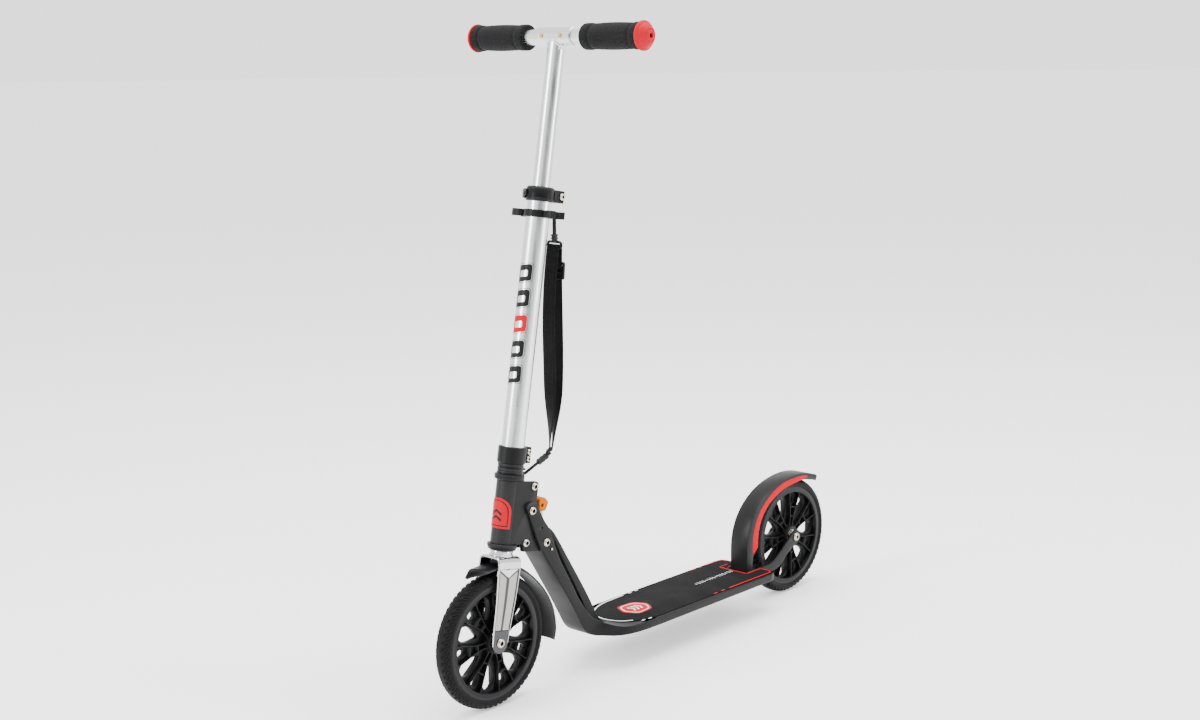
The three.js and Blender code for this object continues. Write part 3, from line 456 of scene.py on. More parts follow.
def weave_material(slot, color):
    """Webbing: ribs across the strap crossed by finer warp threads."""
    look = finish_material(slot, color, 0.8, grain=(2500, 0.2, 0.05), spread=0.3, sheen=0.03, shine=0.1)
    nodes = look["material"].node_tree.nodes
    link = look["material"].node_tree.links.new
    product = nodes.new("ShaderNodeMath")
    product.operation = "MULTIPLY"
    for i, (direction, threads) in enumerate((("Z", 900), ("X", 900 * 0.6))):
        wave = make_node(nodes, "TexWave", {"Scale": threads / 6.2832, "Distortion": 0.3})
        wave.bands_direction = direction
        link(nodes["Mapping"].outputs["Vector"], wave.inputs["Vector"])
        link(wave.outputs["Fac"], product.inputs[i])
    bump = nodes["Bump"]
    bump.inputs["Strength"].default_value = 0.9
    bump.inputs["Distance"].default_value = 0.35 / 1000
    link(product.outputs[0], bump.inputs["Height"])
    return look


# frame black, black plastic, orange paint and tyre get a painted highlight on their sharp edges
black = finish_material("frame_black", (0.0045, 0.0045, 0.005), 0.36, grain=(1400, 0.12, 0.05), edge_highlight_strength=0.5,
                        shine=0.12)
plastic = finish_material("black_plastic", (0.0035, 0.0035, 0.004), 0.36, grain=(1800, 0.15, 0.06),
                          edge_highlight_strength=0.6, shine=0.1)
satin = finish_material("satin_tube", (0.66, 0.67, 0.685), 0.27, 1.0, grain=(500, 0.04, 0.01),
                        spread=0.03, stretch=(6, 6, 0.3))
chrome = finish_material("chrome", (0.56, 0.56, 0.57), 0.1, 1.0, grain=(300, 0.03, 0.02), spread=0.03,
                         rough_spread=0.04)
# a darker copy of the chrome: painted shade on the outer sides of the fork legs
shaded_chrome = finish_material("chrome", (0.055, 0.055, 0.058), 0.16, 1.0, grain=(300, 0.05, 0.02), spread=0.06,
                        rough_spread=0.05)
dull = finish_material("chrome", (0.29, 0.28, 0.26), 0.3, 1.0, grain=(900, 0.08, 0.02), spread=0.06,
                       stretch=(1, 1, 0.1))
steel = finish_material("steel", (0.5, 0.46, 0.39), 0.16, 1.0, grain=(1500, 0.08, 0.02), spread=0.06)
brass = finish_material("brass", (0.5, 0.28, 0.08), 0.3, 1.0, grain=(900, 0.08, 0.02), spread=0.1)
orange = finish_material("orange_paint", (0.46, 0.105, 0.0005), 0.45, grain=(1600, 0.1, 0.03), edge_highlight_strength=0.1,
                         shine=0.04)
red = finish_material("red_plastic", (0.4, 0.0015, 0.012), 0.42, grain=(1500, 0.1, 0.04), spread=0.06,
                      shine=0.08)
red_ink = finish_material("red_ink", (0.4, 0.0015, 0.01), 0.5, grain=(1800, 0.15, 0.05), spread=0.08,
                          shine=0.05)
white_ink = finish_material("white_ink", (0.62, 0.64, 0.66), 0.5, grain=(1800, 0.15, 0.05), spread=0.06,
                            shine=0.2)
black_ink = finish_material("black_ink", (0.006, 0.006, 0.0065), 0.4, grain=(1800, 0.1, 0.03),
                            spread=0.1, shine=0.14)
foam = finish_material("foam", (0.008, 0.008, 0.0085), 0.95, grain=(750, 1.0, 0.9), spread=0.9,
                       sheen=0.03, detail=6, shine=0.08)
rubber = finish_material("tyre", (0.0032, 0.0032, 0.0036), 0.5, grain=(1200, 0.25, 0.08), spread=0.2,
                         edge_highlight_strength=0.35, shine=0.08)
tape = finish_material("grip_tape", (0.005, 0.005, 0.0053), 0.85, grain=(1700, 0.9, 0.3), spread=0.7,
                       shine=0.1)
webbing = weave_material("webbing", (0.0022, 0.0022, 0.0025))
for ink, slot_name in ((red_ink, "grip_tape"), (white_ink, "grip_tape"), (black_ink, "satin_tube")):
    ink["slot"] = slot_name


# ---------- camera, floor and light ----------
def make_camera():
    azimuth, elevation, roll = (math.radians(v) for v in (42.34, 10.29, -0.70))
    distance = 2.76773
    across, above = -0.08357, 0.45328
    back = Vector((math.sin(azimuth) * math.cos(elevation), -math.cos(azimuth) * math.cos(elevation),
                   math.sin(elevation)))
    right = Vector((math.cos(azimuth), math.sin(azimuth), 0))
    up = back.cross(right)
    right, up = (math.cos(roll) * right + math.sin(roll) * up,
                 math.cos(roll) * up - math.sin(roll) * right)
    data = bpy.data.cameras.new("camera")
    data.sensor_width = 36
    data.lens = 51.616
    camera = bpy.data.objects.new("camera", data)
    place = right * across + up * above + back * distance
    camera.matrix_world = Matrix((right, up, back)).transposed().to_4x4()
    camera.location = place
    bpy.context.scene.collection.objects.link(camera)
    bpy.context.scene.camera = camera


def make_floor():
    """A wide round white floor."""
    bm = bmesh.new()
    rings = [[bm.verts.new((0, 0, 0))]]
    rings += [[bm.verts.new((r * math.cos(t), r * math.sin(t), 0)) for t in turn(96)]
              for r in (2500, 60000)]
    skin(bm, rings, cap=False)
    mesh = as_mesh(bm, "studio_floor")
    mesh.transform(MM)
    mesh.shade_smooth()
    mat = bpy.data.materials.new("studio_white")
    mat.use_nodes = True
    shader = mat.node_tree.nodes["Principled BSDF"]
    shader.inputs["Base Color"].default_value = (0.94, 0.94, 0.94, 1)
    shader.inputs["Roughness"].default_value = 1
    shader.inputs["Specular IOR Level"].default_value = 0
    shader.inputs["Emission Color"].default_value = (1, 1, 1, 1)
    shader.inputs["Emission Strength"].default_value = 0.3
    mesh.materials.append(mat)
    floor = bpy.data.objects.new("studio_floor", mesh)
    bpy.context.scene.collection.objects.link(floor)


def soft_light(name, place, aim, size, power):
    data = bpy.data.lights.new(name, "AREA")
    data.shape = "RECTANGLE"
    data.size, data.size_y = size
    data.energy = power
    light = bpy.data.objects.new(name, data)
    light.location = place
    light.rotation_euler = (Vector(place) - Vector(aim)).to_track_quat("Z", "Y").to_euler()
    bpy.context.scene.collection.objects.link(light)


def make_light():
    """A pale dome with one darker side, and three soft boxes."""
    world = bpy.data.worlds.new("studio")
    world.use_nodes = True
    nodes = world.node_tree.nodes
    links = world.node_tree.links
    backdrop = nodes["Background"]
    backdrop.inputs["Color"].default_value = (1, 1, 1, 1)
    where = nodes.new("ShaderNodeTexCoord")
    facing = nodes.new("ShaderNodeVectorMath")
    facing.operation = "DOT_PRODUCT"
    facing.inputs[1].default_value = (0.885, -0.464, -0.05)
    links.new(where.outputs["Generated"], facing.inputs[0])
    fade = nodes.new("ShaderNodeMapRange")
    fade.interpolation_type = "SMOOTHSTEP"
    fade.inputs["From Min"].default_value = 0.72
    fade.inputs["From Max"].default_value = 0.97
    fade.inputs["To Min"].default_value = 2.0
    fade.inputs["To Max"].default_value = 0.3
    links.new(facing.outputs["Value"], fade.inputs["Value"])
    links.new(fade.outputs["Result"], backdrop.inputs["Strength"])
    bpy.context.scene.world = world
    soft_light("overhead", (0.2, 0.1, 3.2), (0, 0, 0.2), (2.2, 2.2), 130)
    soft_light("key", (-1.0, -3.1, 1.7), (0, 0, 0.4), (0.9, 2.4), 90)
    soft_light("side", (2.9, 1.6, 1.4), (0, 0, 0.4), (1.0, 2.4), 80)


make_camera()
make_floor()
make_light()


# ---------- fasteners ----------
def button_head(r=6.2, h=3.0, socket=2.9):
    """Domed socket head standing on z = 0."""
    profile = [(0, 0), (r, 0), (r, h * 0.22), (r * 0.97, h * 0.42), (r * 0.84, h * 0.74),
               (r * 0.68, h * 0.95), (socket + 0.7, h), (socket + 0.15, h), (socket, h - 0.25),
               (socket, h - 2.2), (0, h - 2.2)]
    return revolve(profile, 48, hexed=(7, 8, 9))


def bolt(name, node, body, x, y, z, r=6.2, h=3.0, shank=4, place=GROUND, both=True, start=None,
         socket=2.9):
    """A bolt along x: a domed head at x, and one at -x too or a plain shank from start."""
    near = crossed(button_head(r, h, socket), x, y, z)
    low = -x - h / 2 if both else start
    parts = [near, crossed(rod(shank, low, x + 0.2, 32), 0, y, z)]
    if both:
        parts.append(moved(crossed(button_head(r, h, socket), x, y, z), FLIP_X))
    centre = Vector((y, z))

    # the inside of the socket takes the black frame material: painted shade in the recess
    def in_socket_shade(c):
        return (Vector((c.y, c.z)) - centre).length < socket + 0.1 and x < abs(c.x) < x + h - 0.1

    return piece(name, merged(*parts), steel, body, [node], place, inlays=((black, in_socket_shade),))


def make_fasteners():
    outer = ARM_X[1] + GAP
    bolt("fold_bolt", "fold_pivot_bolt", "deck_frame", outer, FOLD_PIVOT.y, FOLD_PIVOT.z)
    bolt("lever_bolt", "lever_pivot_bolt", "deck_frame", outer, LEVER_PIVOT.y, LEVER_PIVOT.z)
    bolt("lock_bolt", "lock_pin", "head", HEAD_R + GAP, *LOCK, r=6, h=2.8, place=STEM)
    for side, mirror in (("left", GROUND), ("right", FLIP_X)):
        bolt(f"{side}_cheek_screw", f"{side}_bracket_screw", "head", HEAD_R + GAP, *SCREW, r=6, h=2.8,
             shank=2.5, place=STEM @ mirror, both=False, start=12)
    for prefix, body, axle, face in (("front", "steering", FRONT_AXLE, FORK_X[1]),
                                     ("rear", "deck_frame", REAR_AXLE, 24.2)):
        bolt(f"{prefix}_axle_screw", f"{prefix}_axle_bolt", body, face + GAP, axle.y, axle.z,
             r=7.2, shank=4, both=False, start=-face - 6, socket=3.2)
        nut = revolve([(4.3, 0), (7, 0), (7.6, 0.7), (7.6, 4.3), (7, 5), (4.3, 5)], 48,
                      hexed=(1, 2, 3, 4))
        piece(f"{prefix}_axle_lock_nut", crossed(nut, -face - GAP - 5, axle.y, axle.z), steel, body,
              [f"{prefix}_axle_nut"])
    for which, z in (("lower", 6.5), ("upper", 17)):
        bolt(f"{which}_stem_bolt", f"{which}_clamp_bolt", "steering", 8 + GAP, 26, CLAMP[0] + z, r=4.2,
             h=2.5, shank=2.4, place=STEM, both=False, start=-9, socket=1.7)
    bolt("collar_bolt", "height_clamp_bolt", "steering", 15 + GAP, 30, sum(COLLAR) / 2, r=5.2, h=1.8,
         shank=2.4, place=STEM, both=False, start=-5.3, socket=2.2)


# ---------- wheels ----------
def tyre_mesh():
    """Tyre about the x axis, with long curved sipes on its shoulders and short ones between."""
    around, across = SIPES * 12, 46
    bm = bmesh.new()
    rings = []
    for i in range(around):
        theta = 2 * math.pi * i / around
        ring = []
        for j in range(across + 1):
            v = 2 * j / across - 1
            phi = v * math.pi / 2
            edge = abs(v)
            x = TYRE_HALF * math.copysign(abs(math.sin(phi)) ** 0.85, v)
            r = 89 + 11 * max(0.0, math.cos(phi)) ** 0.8
            turns = theta * SIPES / (2 * math.pi) + (0.5 if v > 0 else 0)
            swirl = 1.3 * edge
            groove = 0.0
            for shift, low, high, width in ((0, 0.12, 0.78, 0.3), (0.5, 0.34, 0.6, 0.2)):
                phase = (turns + swirl + shift) % 1.0 - 0.5
                band = smoothstep(low, low + 0.07, edge) * (1 - smoothstep(high, high + 0.08, edge))
                groove = max(groove, (1 - smoothstep(width * 0.35, width, abs(phase))) * band)
            r -= 2.0 * groove
            ring.append(bm.verts.new((x, r * math.cos(theta), r * math.sin(theta))))
        for x, r in ((13.4, 87.6), (12.7, 86.6), (12.4, 85), (-12.4, 85), (-12.7, 86.6), (-13.4, 87.6)):
            ring.append(bm.verts.new((x, r * math.cos(theta), r * math.sin(theta))))
        rings.append(ring)
    skin(bm, rings, loop=True)
    return bm


def leg_offset(r):
    """Half the distance between a pair's legs, at radius r."""
    return 4.0 + 9.6 * smoothstep(24, 86, r) * 1.2


def leaf(low, high, wide, skew, power):
    """Pointed oval along the radius, as (radius, across) points."""
    count = 14
    side = []
    for i in range(count + 1):
        u = i / count
        side.append((low + (high - low) * u, wide * math.sin(math.pi * u ** skew) ** power
                     if 0 < i < count else 0))
    return side + [(r, -w) for r, w in reversed(side[1:-1])]


def hub_mesh():
    """Moulded wheel about the x axis: a pierced web, seven pairs of narrow ribs, core and rim."""
    rim = revolve([(RIM_R, -12), (RIM_R, 12), (80, 12.6), (RIM_INNER + 0.8, 12.6), (RIM_INNER, 11.8),
                   (RIM_INNER - 0.5, 3.2), (RIM_INNER - 0.5, -3.2), (RIM_INNER, -11.8),
                   (RIM_INNER + 0.8, -12.6), (80, -12.6)], 144)
    core = revolve([(6, -7.6), (11.3, -7.6), (11.3, -14.6), (12, -15), (15.6, -15), (16.4, -14.4),
                    (17.4, -9), (17.4, 9), (16.4, 14.4), (15.6, 15), (12, 15), (11.3, 14.6),
                    (11.3, 7.6), (6, 7.6)], 72)
    parts = [crossed(rim), crossed(core)]
    windows = []
    for pair in range(PAIRS):
        middle = FIRST_PAIR + pair * 360 / PAIRS
        big = Matrix.Rotation(math.radians(middle + 180 / PAIRS), 2)
        small = Matrix.Rotation(math.radians(middle), 2)
        windows.append([tuple(big @ Vector(p)) for p in leaf(32, 75.2, 11.5, 1.35, 0.72)])
        windows.append([tuple(small @ Vector(p)) for p in leaf(52, 73, 5.4, 1.15, 0.6)])
    parts.append(plate(circle(RIM_INNER + 1.5, 168), -4, 4, [circle(15, 72), *windows], bevel=0.9))
    inner, outer, steps = 14.5, RIM_INNER + 1.2, 22
    radii = [inner + (outer - inner) * i / steps for i in range(steps + 1)]
    for pair in range(PAIRS):
        spin = Matrix.Rotation(math.radians(FIRST_PAIR + pair * 360 / PAIRS), 4, "X")
        for hand in (-1, 1):
            widths = [0.75 + 1.2 * smoothstep(70, 78, r) + 0.8 * (1 - smoothstep(16, 24, r))
                      for r in radii]
            outline = [(r, hand * (leg_offset(r) + w)) for r, w in zip(radii, widths)]
            outline += [(r, hand * (leg_offset(r) - w)) for r, w in reversed(list(zip(radii, widths)))]
            parts.append(moved(plate(outline, -10.8, 10.8, bevel=0.35), spin))
        for r in (33, 49):
            bar = [(r, -leg_offset(r)), (r + 1.3, -leg_offset(r)), (r + 1.3, leg_offset(r)),
                   (r, leg_offset(r))]
            parts.append(moved(plate(bar, -10.2, 10.2, bevel=0.3), spin))
    return merged(*parts)


def make_wheels():
    tyre = tyre_mesh()
    hub = hub_mesh()
    bearing = revolve([(4.3, 0), (6.4, 0), (6.7, 0.3), (6.7, 0.8), (9, 0.8), (9, 0.3), (9.3, 0),
                       (10.7, 0), (11, 0.3), (11, 6.7), (10.7, 7), (9.3, 7), (9, 6.7), (9, 6.2),
                       (6.7, 6.2), (6.7, 6.7), (6.4, 7), (4.3, 7)], 48)
    for prefix, axle in (("front", FRONT_AXLE), ("rear", REAR_AXLE)):
        at = Matrix.Translation(axle)
        body = f"{prefix}_wheel"
        piece(f"{prefix}_tyre_tread", tyre.copy(), rubber, body, [f"{prefix}_tyre"], at, angle=50)
        piece(f"{prefix}_spoked_hub", hub.copy(), plastic, body, [f"{prefix}_hub"], at)
        for side, x in (("left", 8), ("right", -15)):
            piece(f"{prefix}_{side}_race", crossed(bearing.copy(), x), steel, body,
                  [f"{prefix}_{side}_bearing"], at)


# ---------- fork, mudguard and headset ----------
# half the leg's width by its height above the axle
LEG_REACH = [(0, 15.6), (CROWN_TOP - 26, 22.3), (CROWN_TOP, 22.5)]


def fork_mesh():
    """One bent strip: up the left leg, over the crown, down the right leg, with stamped panels."""
    low, high = -15.5, CROWN_TOP
    x_mid = sum(FORK_X) / 2
    bend = 6.5
    path = []
    for i in range(130):
        path.append((x_mid, low + (high - bend - 1.5 - low) * i / 130, 0.0))
    path += [(x_mid - bend + bend * math.cos(t), high - bend - 1.5 + bend * math.sin(t), t)
             for t in (math.pi / 2 * i / 10 for i in range(11))]
    half = path + [(x_mid - bend - 2 * i, high - 1.5, math.pi / 2) for i in range(1, 7)]
    full = half + [(-x, z, math.pi - t) for x, z, t in reversed(half)]
    across = 46
    bm = bmesh.new()
    rings = []
    for x, z, t in full:
        reach = between(LEG_REACH, z)
        centre = -2.8 * (1 - smoothstep(0, 70, z))
        if z < 0:
            reach = math.sqrt(max(0.3, 15.5 ** 2 - z * z))
        normal = Vector((math.cos(t), 0, math.sin(t)))
        outer, inner = [], []
        for j in range(across + 1):
            k = 2 * j / across - 1
            y = centre + reach * k
            lift = 1.5 - 0.7 * (abs(k) > 0.97)
            if t < 0.01 or t > math.pi - 0.01:
                lift -= stamped(k, z)
            outer.append(bm.verts.new(Vector((x, y, z)) + normal * lift))
            inner.append(bm.verts.new(Vector((x, y, z)) - normal * (1.5 - 0.5 * (abs(k) > 0.97))))
        rings.append(outer + list(reversed(inner)))
    skin(bm, rings)
    return bm


def in_wedge(k, z):
    """Inside the leg's facet: a flat triangle that points down."""
    return abs(k) < 0.8 and 94.6 + 12 * abs(k) / 0.8 < z < 106.8


def in_panel(k, z):
    return 0.13 < abs(k) < 0.78 and 19 < z < 91.5 + 12 * abs(k) / 0.8


def stamped(k, z):
    """Depth of the leg's stamped relief at k across, from -1 to 1, and height z."""
    if in_wedge(k, z):
        return 1.1 - 1.7 * (106.8 - z) / 12.2
    side = 1 - smoothstep(0.78, 0.86, abs(k))
    panel = side * smoothstep(16.5, 20.5, z) * (1 - smoothstep(106.8, 108.4, z))
    groove = (1 - smoothstep(0.05, 0.16, abs(k))) * smoothstep(28, 40, z)
    return panel * (0.9 + 0.5 * (1 - abs(k) / 0.8) + 1.0 * groove)


def make_fork():
    steerer = revolve([(11.8, CROWN_TOP - 3), (14, CROWN_TOP - 3), (14, 314), (11.8, 314)], 64)
    collar = revolve([(14.2, CROWN_TOP - 0.2), (19, CROWN_TOP - 0.2), (18.5, CROWN_TOP + 0.15),
                      (14.2, CROWN_TOP + 0.15)], 64)

    def across(c):
        return (c.y + 2.8 * (1 - smoothstep(0, 70, c.z))) / between(LEG_REACH, c.z)

    def on_panel(c):
        return abs(c.x) > 18.6 and in_panel(across(c), c.z)

    # the outer leg face round and below the panels, with its groove, takes the darker chrome as painted
    # shade
    def on_shaded_side(c):
        k = across(c)
        return abs(c.x) > 18.6 and abs(k) < 0.93 and c.z < 108 and not in_wedge(k, c.z)

    piece("chrome_fork", merged(fork_mesh(), steerer, collar), chrome, "steering", ["fork"], STEM,
          angle=24, inlays=((dull, on_panel), (shaded_chrome, on_shaded_side)))
    race = revolve([(14.3, 124.4), (17, 124.4), (17, 127), (16, 127.8), (16, 129.6), (17, 130.2),
                    (16.2, 132.6), (14.3, 132.6)], 64)
    piece("bearing_race", race, chrome, "steering", ["crown_race"], STEM)


def mudguard_mesh():
    """Thin moulded strip over the tyre: a pointed nose turned up in front, a flared tail behind."""
    rows, across = 90, 16
    bm = bmesh.new()
    rings = []
    for i in range(rows + 1):
        s = i / rows
        degrees = 124 - 127 * s
        angle = math.radians(degrees)
        r = 109.5 + 3.5 * smoothstep(111, 124, degrees) + 12.5 * smoothstep(0.5, 1.0, s)
        half = 0.8 + 15.2 * smoothstep(-0.01, 0.14, s) ** 0.7 - 1.5 * smoothstep(0.93, 1.0, s)
        crown = 3.6 * half / 16 + 6.3 * math.exp(-((degrees - 117) / 5.5) ** 2)
        top, under = [], []
        for j in range(across + 1):
            k = 2 * j / across - 1
            drop = crown * abs(k) ** 2.4
            for ring, wall in ((top, 2.2), (under, 0)):
                size = r + wall + crown - drop - 1.8
                ring.append(bm.verts.new((half * k, -2.8 + size * math.cos(angle),
                                          size * math.sin(angle))))
        rings.append(top + list(reversed(under)))
    skin(bm, rings)
    return bm


def make_mudguard():
    foot = plate(rounded([(-8, -10), (8, -10), (8, 10), (-8, 10)], 2), 110, 120.7, side=False)
    piece("mudguard_strip", merged(mudguard_mesh(), foot), plastic, "steering", ["front_mudguard"], STEM,
          angle=50)


def make_headset():
    low = revolve([(15, 133), (19, 133), (20.5, 134.2), (20.8, 136.4), (22, 137.6), (22, 141.2),
                   (21.4, 141.8), (15, 141.8)], 72)
    piece("lower_headset_cup", low, plastic, "head", ["lower_cup"], STEM)
    z = HEAD_TUBE[1] + GAP
    high = revolve([(15, z), (20.6, z), (21.7, z + 1), (22, z + 4), (22, z + 7.2), (20.6, z + 8.4),
                    (19.2, z + 8.8), (19.2, z + 10), (18.6, z + 12.9), (15, z + 12.9)], 72)
    piece("upper_headset_cup", high, plastic, "head", ["upper_cup"], STEM)
    nodes = frame["nodes"]
    for name in ("lower_head_bearing", "upper_head_bearing", "brake_pivot_pin", "lever_spring_pin"):
        dress(nodes[name], steel)
    dress(nodes["tube_bushing"], plastic)


def dress(node, look):
    node.data.materials.clear()
    node.data.materials.append(look["material"])


# ---------- head bracket, badge and fold lever ----------
def make_bracket():
    cheek = rounded([(-2, HEAD_TUBE[0] + 0.4), (24, HEAD_TUBE[0] + 0.4, 1.5), (26.5, 131, 2),
                     (66, 131, 2.5), (64.5, 136.5, 3), (50, 152, 14), (44, 208, 8),
                     (44.5, HEAD_TUBE[1] - 0.5, 6), (-2, HEAD_TUBE[1] - 0.4)], 0)
    left = plate(cheek, 11, HEAD_R, bevel=0.8)
    right = moved(plate(cheek, 11, HEAD_R, bevel=0.8), FLIP_X)
    shell = revolve([(0, HEAD_TUBE[0]), (17.4, HEAD_TUBE[0]), (HEAD_R, HEAD_TUBE[0] + 0.6),
                     (HEAD_R, HEAD_TUBE[1] - 0.6), (17.4, HEAD_TUBE[1]), (0, HEAD_TUBE[1])], 96)
    body = union(shell, left, right)
    body = boolean(body, rod(15.8, HEAD_TUBE[0] - 2, HEAD_TUBE[1] + 2, 96),
                   crossed(rod(4.25, -30, 30, 32), 0, *PIVOT))
    piece("bracket", body, black, "head", ["head_bracket"], STEM)


def wrapped(outline, r, thickness, holes=()):
    """An outline of (arc length, z) points as a thin sheet bent round the front of the stem."""
    bm = plate(outline, 0, thickness, holes, bevel=0.08, side=False)
    bmesh.ops.triangulate(bm, faces=bm.faces)
    low = min(v.co.x for v in bm.verts)
    high = max(v.co.x for v in bm.verts)
    cuts = int((high - low) / WRAP_STEP)
    for i in range(1, cuts + 1):
        x = low + (high - low) * i / (cuts + 1)
        geometry = bm.verts[:] + bm.edges[:] + bm.faces[:]
        bmesh.ops.bisect_plane(bm, geom=geometry, plane_co=(x, 0, 0), plane_no=(1, 0, 0))
    for vert in bm.verts:
        length, z, lift = vert.co
        angle = math.radians(-90) + length / r
        vert.co = ((r + lift) * math.cos(angle), (r + lift) * math.sin(angle), z)
    return bm


def shield(half, low, high, shoulder):
    """Arch-topped badge outline."""
    return [(-half, low), (half, low), (half, shoulder),
            *bezier((half, shoulder), (half, high - 5), (half * 0.45, high), (0, high), 8)[1:],
            *bezier((0, high), (-half * 0.45, high), (-half, high - 5), (-half, shoulder), 8)[1:-1],
            (-half, shoulder)]


def make_badge():
    outer = shield(22.5, 165, 209, 187)
    piece("badge", wrapped(outer, HEAD_R + 0.25, 0.6), red, "head", ["head_badge"], STEM)
    line = wrapped(shield(19.2, 168.2, 205.8, 186), HEAD_R + 0.9, 0.16,
                   [shield(18, 169.4, 204.6, 185.6)])
    chevrons = [wrapped([(-9, z), (0, z + 5.5), (9, z), (9, z + 3.4), (0, z + 8.9), (-9, z + 3.4)],
                        HEAD_R + 0.9, 0.16) for z in (175, 183.5)]
    piece("badge_lines", merged(line, *chevrons), black_ink, "head", (), STEM)


def make_fold_lever():
    y, z = LEVER
    post = rounded([(y - 5, z), (y + 3, z), (y + 3, z + 44), (y - 5, z + 44)], 0.8)
    arm = rounded([(LOCK[0] + 8, LOCK[1] - 5), (y, z - 6), (y, z + 6), (LOCK[0] - 3, LOCK[1] + 10),
                   (LOCK[0] - 3, LOCK[1] + 5.4), (LOCK[0] + 5.4, LOCK[1] + 5.4)], 1.2)
    boss = crossed(revolve([(4.3, -7), (8, -7), (8, 7), (4.3, 7)], 48), 0, y, z)
    piece("lever_body", merged(plate(post, -7, 7), plate(arm, -7, 7), boss), steel, "fold_lever",
          ["fold_lever"], STEM)
    foot = z + 44 + GAP
    outline = rounded([(y - 7, foot), (y + 6, foot, 1.5), (y + 11, foot + 13, 4), (y + 2, foot + 20, 3),
                       (y - 10, foot + 18, 3), (y - 8.5, foot + 8, 4)], 1.5)
    paddle = plate(outline, -8.5, 8.5, bevel=1.1)
    ribs = [box(-9, 9, y + 8.2, y + 14, foot + h, foot + h + 0.9) for h in (2, 5.2, 8.4)]
    hole = crossed(rod(2.8, -10, 10, 32), 0, y - 2.4, foot + 8.5)
    piece("orange_paddle", boolean(paddle, hole, *ribs), orange, "fold_lever", ["lever_paddle"], STEM)


# ---------- stem clamps, collar and grip holder ----------
def make_stem():
    z0, z1 = 248.2, 259
    ring = revolve([(14.3, z0), (18.4, z0), (19, z0 + 0.6), (19, z0 + 4), (18.2, z0 + 4.6),
                    (18.2, z0 + 5.8), (19, z0 + 6.4), (19, z1 - 0.6), (18.4, z1), (14.3, z1)], 72)
    tab = plate([(-5, 16), (5, 16), *arc((0, 24.3), 5, 0, 180, 12)], 248.5, 251.5,
                [circle(2.6, 24, (0, 24.3))], bevel=0.5, side=False)
    piece("lock_ring", merged(ring, tab), black, "steering", ["strap_ring"], STEM)

    band = revolve([(17.3, CLAMP[0]), (20, CLAMP[0]), (20.8, CLAMP[0] + 0.8), (20.8, CLAMP[1] - 0.8),
                    (20, CLAMP[1]), (17.3, CLAMP[1])], 96)
    ear = plate(rounded([(-8, 14), (8, 14), (8, 32), (-8, 32)], 2), *CLAMP, bevel=0.8, side=False)
    waist = [box(x, x + 10, 20.5, 40, CLAMP[0] + 11, CLAMP[0] + 12.6) for x in (-15, 5)]
    inside = rod(17.3, CLAMP[0] - 2, CLAMP[1] + 2, 96)
    clamp = boolean(union(band, ear), inside, box(-1, 1, 10, 40, CLAMP[0] - 2, CLAMP[1] + 2), *waist)
    piece("stem_collar", clamp, black, "steering", ["stem_clamp"], STEM, bevel=0.3)

    low, high = TUBE
    outer = revolve([(14.4, low), (TUBE_R, low), (TUBE_R, high - 0.5), (TUBE_R - 0.5, high),
                     (14.4, high)], 96)
    piece("lower_stem_tube", outer, satin, "steering", ["outer_tube"], STEM)


def collar_ring():
    z0, z1 = COLLAR
    return revolve([(17.3, z0), (19.6, z0), (20.3, z0 + 0.8), (20.3, z0 + 4), (19.7, z0 + 4.8),
                    (19.7, z1 - 6), (20.3, z1 - 5), (20.3, z1 - 2.5), (18.6, z1), (13.7, z1),
                    (13.7, z1 - 2.7), (17.3, z1 - 2.7)], 96)


def make_collar():
    z0, z1 = COLLAR
    ear = plate(rounded([(1, 14), (15, 14), (15, 35), (1, 35)], 1.5), z0 + 1, z1 - 2, bevel=0.7,
                side=False)
    far = plate(rounded([(-5, 14), (-1, 14), (-1, 33), (-5, 33)], 1), z0 + 1, z1 - 2, bevel=0.5,
                side=False)
    inside = rod(17.3, z0 - 2, z1 - 2.7, 96)
    throat = rod(13.7, z0 - 2, z1 + 2, 96)
    pocket = crossed(rod(6.6, 13.6, 20, 48), 0, 30, (z0 + z1) / 2)
    body = boolean(union(collar_ring(), ear, far), inside, throat, pocket,
                   box(-1, 1, 10, 40, z0 - 2, z1 + 2))
    piece("quick_collar", body, plastic, "steering", ["height_clamp"], STEM)

    r = 21.5
    outer = arc((0, 0), r + 4, 128, 226, 20)
    tip = [((r + 3.4) * math.cos(math.radians(a)), (r + 3.4) * math.sin(math.radians(a)))
           for a in (236, 243)]
    inner = arc((0, 0), r, 247, 128, 24)
    arm = plate([*outer, *tip, *inner], z0 + 2.6, z1 - 3.6, bevel=1.0, side=False)
    bmesh.ops.triangulate(arm, faces=arm.faces)
    middle = (z0 + z1 - 1) / 2
    for vert in arm.verts:
        reached = (math.degrees(math.atan2(vert.co.y, vert.co.x)) + 360) % 360
        vert.co.z = middle + (vert.co.z - middle) * (1 - 0.6 * smoothstep(200, 246, reached))
    link = plate(rounded([(-13.5, 17.5), (-18, 17), (-17.5, 30), (-11, 30), (-9, 26)], 1.5), z0 + 3,
                 z1 - 4, bevel=0.8, side=False)
    cam = moved(revolve([(0, z0 + 2), (4.4, z0 + 2), (5, z0 + 2.6), (5, z1 - 3.6), (4.4, z1 - 3),
                         (0, z1 - 3)], 48), shift(-11, 30, 0))
    piece("quick_lever", union(arm, link, cam), plastic, "clamp_lever", ["clamp_lever"], STEM)


